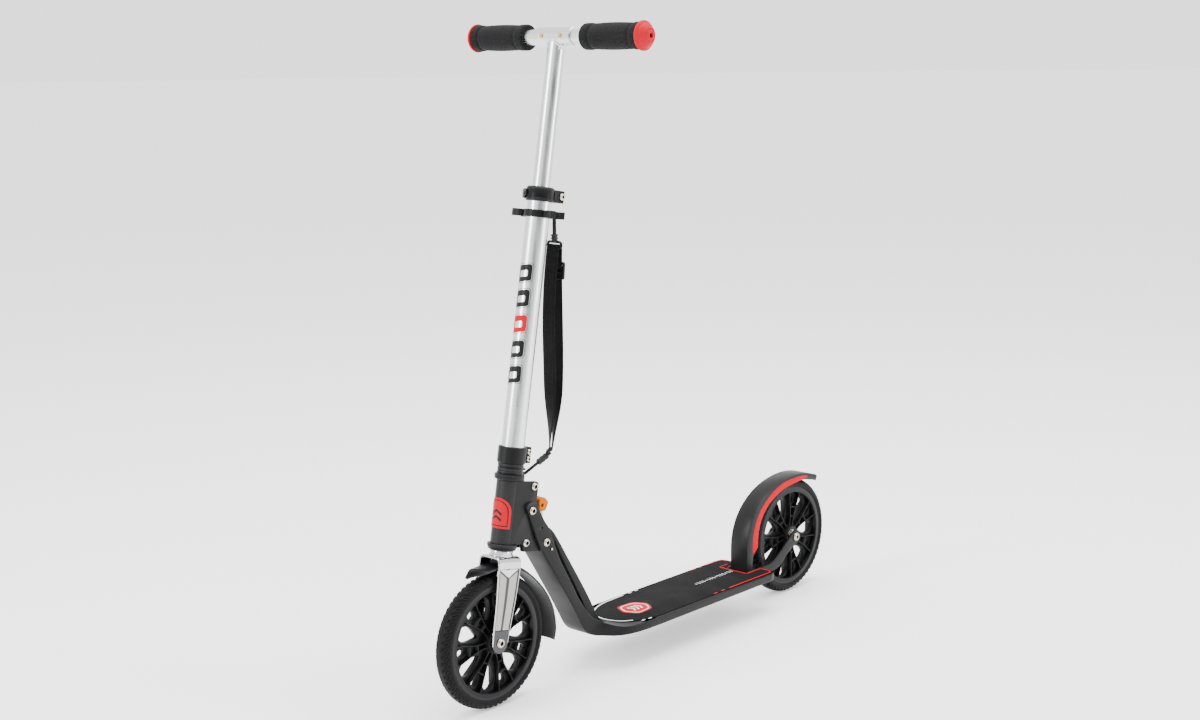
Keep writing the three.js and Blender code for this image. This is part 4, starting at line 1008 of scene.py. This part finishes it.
def make_holder():
    z0, z1 = HOLDER
    clip_r = HANDLE_R + GAP
    body = plate(circle(20.7, 96), z0, z1, bevel=0.7, side=False)
    clips, rooms = [], []
    for hand in (-1, 1):
        x = hand * 33
        clips.append(plate(circle(clip_r + 2.6, 64, (x, 0)), z0, z1, bevel=0.6, side=False))
        neck = rounded([(hand * 14, -9), (hand * 24, -8), (hand * 24, 8), (hand * 14, 9)], 0)
        clips.append(plate(neck, z0, z1, bevel=0.6, side=False))
        rooms.append(moved(rod(clip_r, z0 - 2, z1 + 2, 64), shift(x, 0, 0)))
        rooms.append(box(*sorted((x + hand * 0.5, x + hand * 30)), -9.4, 9.4, z0 - 2, z1 + 2))
    loop = plate(rounded([(3, 14), (15, 14), (15, 31), (3, 31)], 3), z0 + 2, z0 + 6, bevel=0.7,
                 side=False)
    rooms.append(moved(rod(3.7, z0 - 2, z1, 32), shift(9, 24.3, 0)))
    rooms.append(rod(17.3, z0 - 2, z1 + 2, 96))
    lips = []
    for hand in (-1, 1):
        for up in (-1, 1):
            at = (hand * 40.4, up * 10.1)
            lips.append(moved(plate(circle(1.9, 20), z0, z1, bevel=0.6, side=False),
                              shift(*at, 0)))
    made = boolean(union(body, *clips, loop), *rooms)
    piece("handle_clip", merged(made, *lips), plastic, "steering", ["grip_holder"], STEM)


def slanted(half, z, height, rise, radius):
    return rounded([(-half, z), (half, z + rise), (half, z + rise + height), (-half, z + height)],
                   radius)


def make_stem_mark():
    """Slanted links up the front of the stem: a plain graphic of five rounded frames."""
    dark, warm = [], []
    for i in range(LINKS):
        z = LINK_START + i * LINK_PITCH
        body = warm if i == 2 else dark
        body.append(wrapped(slanted(13.4, z + 1.4, 24, 4.6, 5), TUBE_R + 0.02, 0.14,
                            [slanted(7.4, z + 9, 9.4, 2.6, 2.4)]))
        body.append(wrapped(slanted(15.2, z - 0.6, 28, 4.8, 6), TUBE_R + 0.02, 0.14,
                            [slanted(14.6, z, 26.8, 4.8, 5.6)]))
    piece("stem_links", merged(*dark), black_ink, "steering", (), STEM)
    piece("stem_red_link", merged(*warm), dict(red_ink, slot="satin_tube"), "steering", (), STEM)


# ---------- carrying strap ----------
ROUND = [(math.cos(t), math.sin(t)) for t in turn(16)]


def wire(points, r, side=(1, 0, 0), loop=False):
    return sweep(points, [(r * a, r * b) for a, b in ROUND], side, loop)


def turned_section(path, half, thick, twist):
    """Flat ribbon along a closed path in the yz plane at STRAP_X; twist(i) turns it about z."""
    bm = bmesh.new()
    rings = []
    count = len(path)
    for i, (y, z) in enumerate(path):
        before, after = path[i - 1], path[(i + 1) % count]
        along = Vector((0, after[0] - before[0], after[1] - before[1])).normalized()
        angle = twist(z)
        across = Vector((math.cos(angle), math.sin(angle), 0))
        normal = across.cross(along).normalized()
        ring = []
        for a, b in ((-1, -0.6), (-0.93, -1), (-0.5, -0.86), (0, -0.8), (0.5, -0.86), (0.93, -1),
                     (1, -0.6), (1, 0.6), (0.93, 1), (0.5, 0.86), (0, 0.8), (-0.5, 0.86), (-0.93, 1),
                     (-1, 0.6)):
            ring.append(bm.verts.new(Vector((STRAP_X, y, z)) + across * (a * half)
                                     + normal * (b * thick)))
        rings.append(ring)
    skin(bm, rings, loop=True)
    return bm


def make_strap():
    top_z = HOLDER[0]
    lean = math.tan(RAKE)
    y_top = TUBE_R + 8

    def hang(drop):
        return (STRAP_X, y_top + lean * drop, top_z - drop)

    shank = [hang(24), hang(12), hang(4), hang(-3), hang(-7.5)]
    barrel = [hang(20.5), hang(31.5)]
    collars = [sweep([hang(a), hang(a + 1.8)], [(5.6 * c, 5.6 * s) for c, s in ROUND])
               for a in (21, 25.4, 29.8)]
    ring = []
    for a, b in rounded([(-13, -31.5), (13, -31.5), (13.4, -40), (-13.4, -40)], 4, 5):
        point = hang(-b)
        ring.append((STRAP_X + a, point[1], point[2]))
    parts = [wire(shank, 2.9), wire(barrel, 4.4), *collars,
             wire(ring, 2.0, side=(0, 1, lean), loop=True)]
    piece("upper_hook", merged(*parts), plastic, "steering", ["upper_strap_hook"], STEM)

    # the webbing goes down in front, round the lower ring, up behind and round the upper ring
    top = (y_top + lean * 37, top_z - 38.5)
    low = (TUBE_R + 53.5, CLAMP[0] + 22)
    front = bezier((top[0] - 3.2, top[1]), (top[0] - 3.6, top[1] - 120), (low[0] - 15, low[1] + 120),
                   (low[0] - 2.4, low[1]), 44)
    rear = bezier((low[0] + 3, low[1]), (low[0] + 5, low[1] + 110), (top[0] + 18, top[1] - 105),
                  (top[0] + 3.2, top[1]), 44)
    bottom = arc((low[0] + 0.3, low[1]), 2.7, 180, 360, 8)[1:-1]
    over = arc(top, 3.2, 0, 180, 10)[1:-1]
    loop = front + bottom + rear + over

    def twist(z):
        return -0.8 * (1 - smoothstep(low[1] - 4, low[1] + 95, z))

    half, thick = WEBBING
    band = piece("strap_band", turned_section(loop, half, thick, twist), webbing, "steering",
                 ["strap_webbing"], STEM, angle=60)

    # ladder buckle on the rear strand
    z_mid = top_z - 72
    y_mid = min(rear, key=lambda p: abs(p[1] - z_mid))[0]
    slots = [rounded([(-12.6, s * 3), (12.6, s * 3), (12.6, s * 9.6), (-12.6, s * 9.6)], 1.2)[::s]
             for s in (1, -1)]
    buckle = plate(rounded([(-16, -13), (16, -13), (16, 13), (-16, 13)], 4), -2, 2, slots, bevel=0.9,
                   side=False)
    turned = shift(STRAP_X, y_mid + 0.6, z_mid) @ Matrix.Rotation(math.pi / 2 + 0.09, 4, "X")
    piece("buckle", moved(buckle, turned), plastic, "steering", ["strap_slider"], STEM)

    # lower snap hook: tip through the eyelet, then shank, swivel and the ring under the webbing
    elbow = Vector((0, 31.3, 243.5))
    end = Vector((STRAP_X, TUBE_R + 55, CLAMP[0] + 17))
    tip = [(0, 24.3, 253.5), (0, 24.3, 248), (0, 24.6, 245), (0, 26.5, 243.6), (0, 29, 243.3),
           tuple(elbow)]
    stretch = [tuple(elbow.lerp(end, k)) for k in (0.2, 0.4, 0.56)]
    barrel = [elbow.lerp(end, k) for k in (0.5, 0.84)]
    rings = [sweep([elbow.lerp(end, k), elbow.lerp(end, k + 0.05)], [(5 * c, 5 * s) for c, s in ROUND])
             for k in (0.52, 0.64, 0.76)]
    link = wire([elbow.lerp(end, 0.82), elbow.lerp(end, 0.97)], 2.8)
    across = Vector((math.cos(twist(low[1])), math.sin(twist(low[1])), 0))
    onward = (end - elbow).normalized()
    ring = [Vector((STRAP_X, low[0] + 0.3, low[1])) + across * a + onward * b
            for a, b in rounded([(-13, 0), (13, 0), (7, -8), (-7, -8)], 2.5, 4)]
    piece("lower_hook", merged(wire(tip + stretch, 2.4), wire(barrel, 4.5), *rings, link,
                               wire(ring, 2.0, side=tuple(across.cross(onward)), loop=True)),
          plastic, "steering", ["lower_strap_hook"], STEM)


# ---------- height tube, crossbar and handles ----------
def make_bar():
    tube = revolve([(INNER_R - 1.6, -326.3), (INNER_R - 0.4, -326.3), (INNER_R, -325.9), (INNER_R, -6),
                    (INNER_R - 1.6, -6)], 72)
    room = crossed(rod(14.6, -30, 30, 72))
    piece("upper_stem_tube", boolean(tube, room), satin, "height_bar", ["inner_tube"], BAR)

    half = 34.5
    shell = crossed(revolve([(11.35, -half), (13.6, -half), (14.3, -half + 0.7), (14.3, half - 0.7),
                             (13.6, half), (11.35, half)], 96))
    holes = []
    for hand in (-1, 1):
        hole = rod(3.45, 0, 30, 32)
        holes.append(moved(hole, shift(hand * 18.4, 0, 0) @ UPRIGHT))
    shell = boolean(shell, *holes)
    bead = []
    for t in turn(72):
        r = INNER_R + 0.9
        y, x = r * math.sin(t), r * math.cos(t)
        z = -math.sqrt(max(0.0, 14.3 ** 2 - min(14.2, abs(y)) ** 2)) - 0.5
        bead.append((x, y, z))
    weld = bmesh.new()
    rings = []
    for i, point in enumerate(bead):
        out = Vector((point[0], point[1], 0)).normalized()
        bulge = 1.5 + 0.22 * math.sin(i * math.pi)
        bulge += 0.25 * math.cos(i * 2 * math.pi * 24 / 72)
        rings.append([weld.verts.new(Vector(point) + out * bulge * a + Vector((0, 0, bulge * b)))
                      for a, b in ROUND[::2]])
    skin(weld, rings, loop=True)
    eyelet = [(17 + 2.8 * math.cos(t), -8, -14.6 - 1.4 + 2.8 * math.sin(t)) for t in turn(24)]
    ring = wire(eyelet, 0.8, side=(0, 1, 0), loop=True)
    piece("t_bar", merged(shell, weld, ring), satin, "height_bar", ["crossbar"], BAR)


def grip_profile():
    """Foam sleeve from (radius, distance from the middle) points."""
    start, end = GRIP
    bore = HANDLE_R + GAP
    profile = [(bore, start), (16.2, start)]
    profile += [(16.2 + 2.5 * math.sin(t), start + 2.5 - 2.5 * math.cos(t)) for t in
                (math.pi / 2 * i / 6 for i in range(1, 7))]
    profile += [(18.8, start + 8), (18.75, start + 12.5), (18.3, start + 14.8), (17.5, start + 15.9),
                (17.15, start + 16.6), (17.5, start + 17.5), (18, start + 19)]
    for i in range(1, 12):
        t = i / 12
        profile.append((18 + 1.0 * math.sin(math.pi * t), start + 19 + (end - 16 - start - 19) * t))
    profile += [(18, end - 16), (17.5, end - 14.7), (17.15, end - 13.8), (17.5, end - 13),
                (18.5, end - 12), (18.9, end - 10.4), (19, end - 6), (18.9, end - 1.6),
                (18.3, end - 0.2), (bore, end)]
    return profile


def make_handles():
    for prefix, mirror in (("left", GROUND), ("right", FLIP_X)):
        body = f"{prefix}_handle"
        place = BAR @ mirror
        tube = crossed(revolve([(9.1, 4), (10.6, 4), (HANDLE_R, 4.5), (HANDLE_R, 163), (9.1, 163)], 72))
        slot_room = box(2, 18.4, -40, 0, -3.7, 3.7)
        slot_end = moved(rod(3.7, 0, 30, 32), shift(18.4, 0, 0) @ UPRIGHT)
        piece(f"{prefix}_bar_tube", boolean(tube, slot_room, slot_end), satin, body,
              [f"{prefix}_handle_tube"], place)
        sleeve = piece(f"{prefix}_foam", crossed(revolve(grip_profile(), 96)), foam, body,
                       [f"{prefix}_grip"], place, angle=60)
        z = GRIP[1] + GAP
        cap = [(HANDLE_R + GAP, z), (20.2, z), (20.75, z + 0.5), (20.75, z + 2.4), (20.3, z + 3),
               (19.7, z + 3.2), (19.7, z + 3.7), (19.3, z + 4.4), (17.6, z + 5.4), (17.5, z + 5.9),
               (16.9, z + 6.9), (14.9, z + 9.2), (12.2, z + 11.6), (10.4, z + 13.4), (9.6, z + 13.8),
               (9.4, z + 13.3), (7.2, z + 14.2), (5.4, z + 15), (4.4, z + 15.2), (3.6, z + 15),
               (3.2, z + 14.4), (3.2, z + 3), (HANDLE_R + GAP, z + 3)]
        piece(f"{prefix}_red_cap", crossed(revolve(cap, 96)), red, body, [f"{prefix}_end_cap"], place)
        pin = revolve([(0, 7.8), (3.2, 7.8), (3.2, 15), (2.9, 15.6), (2.2, 15.9), (1.5, 15.5),
                       (0, 15.3)], 40)
        upright = shift(18.4, 0, 0) @ UPRIGHT
        piece(f"{prefix}_snap_button", moved(pin, upright), brass, f"{prefix}_button",
              [f"{prefix}_button"], place)


# ---------- neck and deck ----------
FRONT_EDGE = [(-305.3, 300.6), (-300.7, 289), (-277.7, 231), (-266.2, 211), (-245.1, 178), (-232, 157),
              (-218.8, 136), (-201.8, 108), (-192, 91), (-182, 74), (-172, 64.5), (-158, 58),
              (-140, 55.4), (-118, 55.2), (-95, 55.2), (-70, 55.2)]
REAR_EDGE = [(-281.3, 299), (-276.5, 287), (-265, 264), (-253.2, 246), (-234.7, 200), (-207.2, 151),
             (-191.3, 123.5), (-168.9, 94), (-153.6, 82), (-138, 73.4), (-124, 69.4), (-112, 68.1),
             (-98, 67.9), (-84, 67.9), (-68, 67.9), (-56, 67.9)]


def spline(points, count):
    """Evenly spaced points on a smooth curve through the given ones."""
    dense = []
    for i in range(len(points) - 1):
        a, b, c, d = (Vector(points[max(0, min(len(points) - 1, i + k))]) for k in (-1, 0, 1, 2))
        square = 2 * a - 5 * b + 4 * c - d
        cube = 3 * b - a - 3 * c + d
        for s in range(12):
            t = s / 12
            dense.append(0.5 * (2 * b + (c - a) * t + square * t * t + cube * t ** 3))
    dense.append(Vector(points[-1]))
    lengths = [0.0]
    for a, b in zip(dense, dense[1:]):
        lengths.append(lengths[-1] + (b - a).length)
    result = []
    k = 0
    for i in range(count):
        target = lengths[-1] * i / (count - 1)
        while k < len(lengths) - 2 and lengths[k + 1] < target:
            k += 1
        share = (target - lengths[k]) / (lengths[k + 1] - lengths[k])
        result.append(dense[k].lerp(dense[k + 1], min(1, share)))
    return result


PLAN = [(-400, 22.5), (-172, 22.5), (-160, 23.4), (-150, 26), (-142, 34), (-134, 43), (-124, 50),
        (-112, 54.6), (-95, 57.6), (-75, 59.4), (-56, 60), (300, 60)]


def plan_half(y):
    """Half-width of the frame at y, softened."""
    return sum(between(PLAN, y + d) for d in (-5, -2.5, 0, 2.5, 5)) / 5


def section_ring(bm, front, rear, half_front, half_rear, radius):
    """Rounded four-sided section between a front and a rear point of the side view."""
    cut = 4
    corners = [(-half_front, front), (half_front, front), (half_rear, rear), (-half_rear, rear)]
    ring = []
    for i, (x, point) in enumerate(corners):
        here = Vector((x, point.x, point.y))
        before_x, before = corners[i - 1]
        after_x, after = corners[(i + 1) % 4]
        start = here + (Vector((before_x, before.x, before.y)) - here).normalized() * radius
        end = here + (Vector((after_x, after.x, after.y)) - here).normalized() * radius
        for k in range(cut + 1):
            t = k / cut
            ring.append(bm.verts.new(start * (1 - t) ** 2 + here * 2 * t * (1 - t) + end * t * t))
    return ring


def loft(front_line, rear_line, half_of):
    bm = bmesh.new()
    rings = []
    for front, rear in zip(front_line, rear_line):
        radius = 2.2 - smoothstep(-125, -75, front.x)
        rings.append(section_ring(bm, front, rear, half_of(front.x), half_of(rear.x), radius))
    skin(bm, rings)
    return bm


def neck_mesh():
    count = 150
    rails = loft(spline(FRONT_EDGE, count), spline(REAR_EDGE, count), plan_half)
    spine_front = [(-236, 225), (-213, 180), (-185, 130), (-165, 92), (-150, 72), (-136, 62), (-122, 60)]
    spine_rear = [(-246.8, 247), (-234.8, 235), (-207.3, 192), (-175.4, 141), (-161.7, 118),
                  (-151.7, 99), (-139, 80), (-126, 70.4), (-119, 68.1)]
    spine = loft(spline(spine_front, 90), spline(spine_rear, 90), lambda y: 14)
    y, z = FOLD_PIVOT.y, FOLD_PIVOT.z
    slot = moved(box(-ARM_X[0], ARM_X[0], -60, 17, -74, 70),
                 shift(0, y, z) @ Matrix.Rotation(-0.2, 4, "X"))
    swing = boolean(crossed(rod(70.2, -ARM_X[0], ARM_X[0], 128), 0, y, z),
                    box(-19, 19, -420, y + 22.6, 150, 330), operation="INTERSECT")
    return boolean(union(rails, spine), slot, swing, arm_clip(),
                   crossed(rod(11, -14, 14, 64), 0, LEVER_PIVOT.y, LEVER_PIVOT.z),
                   crossed(rod(4.3, -40, 40, 32), 0, y, z),
                   crossed(rod(4.3, -40, 40, 32), 0, LEVER_PIVOT.y, LEVER_PIVOT.z),
                   crossed(rod(1.9, -40, 40, 24), 0, LEVER_PIVOT.y - 8, LEVER_PIVOT.z + 24))


def arm_clip():
    """What is cut away outside the round ends of the neck's arms."""
    centre = Vector((FOLD_PIVOT.y, FOLD_PIVOT.z))
    along = Vector((0.369, -0.929))
    across = Vector((0.929, 0.369))
    start = math.degrees(math.atan2(across.y, across.x))
    end = arc(tuple(centre), 13, start, start + 180, 32)
    far = [centre - across * 60, centre - across * 60 - along * 80, centre + across * 60 - along * 80,
           centre + across * 60]
    return prism([*end, *(tuple(p) for p in far)], -30, 30)


def deck_mesh():
    nose = [(plan_half(y) - 0.25, y) for y in (-84, -76, -68, -62)]
    low, high = DECK_END - 18, DECK_HALF - 18
    right_corner = bezier((DECK_HALF, low), (DECK_HALF, DECK_END - 5), (DECK_HALF - 7, DECK_END),
                          (high, DECK_END), 8)
    left_corner = bezier((-high, DECK_END), (-DECK_HALF + 7, DECK_END), (-DECK_HALF, DECK_END - 5),
                         (-DECK_HALF, low), 8)
    outline = [*((-x, y) for x, y in reversed(nose)), *nose, (DECK_HALF, -54), *right_corner,
               (NOTCH_HALF + 2, DECK_END), (NOTCH_HALF, DECK_END - 2), (NOTCH_HALF, NOTCH_Y),
               (-NOTCH_HALF, NOTCH_Y), (-NOTCH_HALF, DECK_END - 2), (-NOTCH_HALF - 2, DECK_END),
               *left_corner, (-DECK_HALF, -54)]
    body = plate(outline, DECK_BOTTOM, PANEL_TOP, bevel=1.2, side=False)
    channels = []
    width = (2 * (DECK_HALF - 10) - 2 * 5) / 3
    for i in range(3):
        x0 = -DECK_HALF + 10 + i * (width + 5)
        corners = rounded([(x0, -66), (x0 + width, -66), (x0 + width, NOTCH_Y - 12),
                           (x0, NOTCH_Y - 12)], 5)
        channels.append(plate(corners, DECK_BOTTOM - 4, PANEL_TOP - 5, bevel=0.6, side=False))
    return boolean(body, *channels)


def stroke(points, width, z0, z1):
    """A printed line of that width along (x, y) points."""
    section = [(-width / 2, 0), (width / 2, 0), (width / 2, z1 - z0), (-width / 2, z1 - z0)]
    bm = bmesh.new()
    rings = []
    count = len(points)
    for i, point in enumerate(points):
        before = Vector(points[i - 1] if i else point)
        after = Vector(points[i + 1] if i < count - 1 else point)
        along = (after - before).normalized()
        across = Vector((-along.y, along.x))
        rings.append([bm.verts.new((point[0] + across.x * a, point[1] + across.y * a, z0 + b)) for a,
                      b in section])
    skin(bm, rings)
    return bm


def tape_outline(inset=0.0):
    half = DECK_HALF - 4 - inset
    y0 = -118 + inset
    notch = NOTCH_HALF + 3 + inset
    end = DECK_END - 4 - inset
    right = bezier((0, y0), (half * 0.55, y0), (half * 0.95, y0 + 26), (half, y0 + 80), 18)
    side = [(half, end - 14), *bezier((half, end - 14), (half, end - 5), (half - 5, end),
                                      (half - 14, end), 6)[1:], (notch, end),
            (notch, NOTCH_Y - 4 - inset)]
    whole = right + side
    return whole + [(-x, y) for x, y in reversed(whole)][:-1]


def make_deck():
    piece("frame_neck", neck_mesh(), black, "deck_frame", ["neck"], angle=38)
    piece("deck_board", deck_mesh(), black, "deck_frame", ["deck"])
    piece("grip_sheet", plate(tape_outline(), PANEL_TOP + GAP, DECK_TOP, bevel=0.25, side=False), tape,
          "deck_frame", ["grip_tape"])

    z0, z1 = DECK_TOP - 0.02, DECK_TOP + 0.16
    right = [(x, y) for x, y in tape_outline(2.2) if y < -45 and x >= 0]
    near = [p for p in right if p[1] < -88]
    far = [(-x, y) for x, y in reversed(right[1:])]
    line = [(-53.8, -8), *far, *near]
    whites = [stroke(line, 2.6, z0, z1)]
    for x, y in ((51.6, -80), (53.3, -66), (-53.8, 8), (-53.8, 24)):
        whites.append(stroke([(x, y - 3.4), (x + 0.2, y + 3.4)], 2.8, z0, z1))
    for i in range(DASHES):
        y = DASH_START + i * DASH_PITCH
        size = 3.6 if i % 4 else 2.0
        whites.append(stroke([(-size, y), (size, y + 1.6)], 1.3, z0, z1))
    piece("deck_white_lines", merged(*whites), white_ink, "deck_frame")

    out, notch, end = 54, NOTCH_HALF + 4.5, DECK_END - 6.5
    loop = rounded([(out, 132, 0), (out, end, 10), (notch, end, 4), (notch, NOTCH_Y - 6, 0)], 4)
    front = [(notch, NOTCH_Y - 6), (-notch, NOTCH_Y - 6), (-notch, NOTCH_Y + 16)]
    reds = [stroke(loop, 2.8, z0, z1), stroke(front, 2.8, z0, z1)]
    far_arm = rounded([(-out, 206, 0), (-out, end, 10), (-notch, end, 4), (-notch, NOTCH_Y + 24, 0)], 4)
    reds.append(stroke(far_arm, 2.8, z0, z1))
    for x, y in ((out, 97), (out, 116), (-out, 172), (-out, 190)):
        reds.append(stroke([(x, y - 4.2), (x, y + 4.2)], 2.8, z0, z1))
    piece("deck_red_lines", merged(*reds), red_ink, "deck_frame")
    make_emblem(z0, z1)


def emblem_outline(k):
    """Pointed shield lying on the deck, k times its size."""
    corners = [(0, -31 * k, 3), (24 * k, -20 * k, 12), (22 * k, 16 * k, 18), (0, 28 * k, 10),
               (-22 * k, 16 * k, 18), (-24 * k, -20 * k, 12)]
    return [(3 + x, -42 + y) for x, y in rounded(corners, 6, 6)]


def make_emblem(z0, z1):
    field = plate(emblem_outline(1), z0, z1, bevel=0.02, side=False)
    piece("emblem_field", field, red_ink, "deck_frame")
    rim = plate(emblem_outline(0.86), z0, z1 + 0.1, [emblem_outline(0.79)], bevel=0.02, side=False)
    marks = [stroke([(3 - 9, y - 5), (3, y), (3 + 9, y - 5)], 3.2, z0, z1 + 0.1)
             for y in (-48, -40, -32)]
    piece("emblem_lines", merged(rim, *marks), white_ink, "deck_frame")


# ---------- rear end ----------
def make_dropouts():
    y, z = REAR_AXLE.y, REAR_AXLE.z
    outline = [(NOTCH_Y + 6, PANEL_TOP - 1), (NOTCH_Y + 6, DECK_BOTTOM + 1), (y - 62, DECK_BOTTOM - 1),
               *bezier((y - 62, DECK_BOTTOM - 1), (y - 50, DECK_BOTTOM), (y - 40, z - 40),
                       (y - 28, z - 27), 8)[1:], *arc((y, z), 12, -58, 126, 24),
               *bezier((y - 40, z - 14), (y - 56, z - 24), (y - 62, PANEL_TOP + 2), (y - 80, PANEL_TOP),
                       10)]
    for prefix, mirror in (("left", GROUND), ("right", FLIP_X)):
        body = plate(outline, 20.2, 24.2, [circle(4.3, 32, (y, z))], bevel=0.8)
        low = bezier((y - 60, 60), (y - 46, 62), (y - 40, 70), (y - 26, 79), 8)
        high = bezier((y - 38, 80), (y - 54, 70), (y - 62, 64), (y - 82, 64), 8)
        relief = plate([(NOTCH_Y + 14, 61), *low, (y - 20, 91), *high], 23.6, 26, bevel=0.3)
        piece(f"{prefix}_axle_plate", boolean(body, relief), black, "deck_frame", [f"{prefix}_dropout"],
              mirror)


def make_fender():
    """Curved guard of U section, its outer and inner edges paired station by station."""
    y, z = REAR_AXLE.y, REAR_AXLE.z
    foot_y, back_y = NOTCH_Y + 9, BRAKE_PIVOT.y + 7
    outer = [(foot_y, DECK_BOTTOM + 2), (foot_y, 80), (foot_y + 0.3, z + 4)]
    outer += bezier((foot_y + 0.3, z + 4), (foot_y + 2, z + 73), (y - 62, 208.3), (y + 10, 208.3),
                    24)[1:]
    outer += bezier((y + 10, 208.3), (y + 34, 207.6), (y + 50, 203.2), (y + 70, 196.4), 12)[1:]
    inner = [(back_y, DECK_BOTTOM + 2), (back_y, z - 22), (back_y + 7, z + 4)]
    inner += [(257.3, 128), (268.3, 154.5), (292.7, 175.5), (331.5, 190.3), (381, 195.6),
              (y + 48, 191.6), (y + 58, 189), (y + 66, 186.5)]
    count = 110
    wall, half, round_off = 2.7, FENDER_HALF, 2.6
    bm = bmesh.new()
    rings = []
    for near, far in zip(spline(outer, count), spline(inner, count)):
        depth = (far - near).length
        into = (far - near) / depth
        roof = min(wall, depth - 0.6)
        soft = min(round_off, depth - 0.8)
        edge = [(-half, depth), (-half, soft), (-half + soft * 0.29, soft * 0.29), (-half + soft, 0)]
        section = edge + [(-x, d) for x, d in reversed(edge)]
        section += [(half - wall, depth), (half - wall, roof), (wall - half, roof), (wall - half, depth)]
        rings.append([bm.verts.new((x, near.x + into.x * d, near.y + into.y * d)) for x, d in section])
    skin(bm, rings)
    piece("fender_shell", bm, black, "rear_brake", ["rear_fender"], angle=36)

    out = spline([(242, 101), (245, 134), (264, 168), (299, 193), (338, 205), (388, 205.6),
                  (401, 201.2)], 60)
    back = spline([(380, 197.2), (332, 191.5), (294, 176.5), (270, 155), (259, 130), (256.5, 104)], 50)
    stripe = [(p.x, p.y - 2.4) for p in out] + [(p.x, p.y - 1.4) for p in back] + [(246, 92)]
    look = dict(red_ink, slot="frame_black")
    for prefix, mirror in (("left", GROUND), ("right", FLIP_X)):
        piece(f"{prefix}_fender_stripe", plate(stripe, FENDER_HALF - 0.1, FENDER_HALF + 0.2,
                                               bevel=0.05), look, "rear_brake", (), mirror)


make_fasteners()
make_wheels()
make_fork()
make_mudguard()
make_headset()
make_bracket()
make_badge()
make_fold_lever()
make_stem()
make_collar()
make_holder()
make_stem_mark()
make_strap()
make_bar()
make_handles()
make_deck()
make_dropouts()
make_fender()
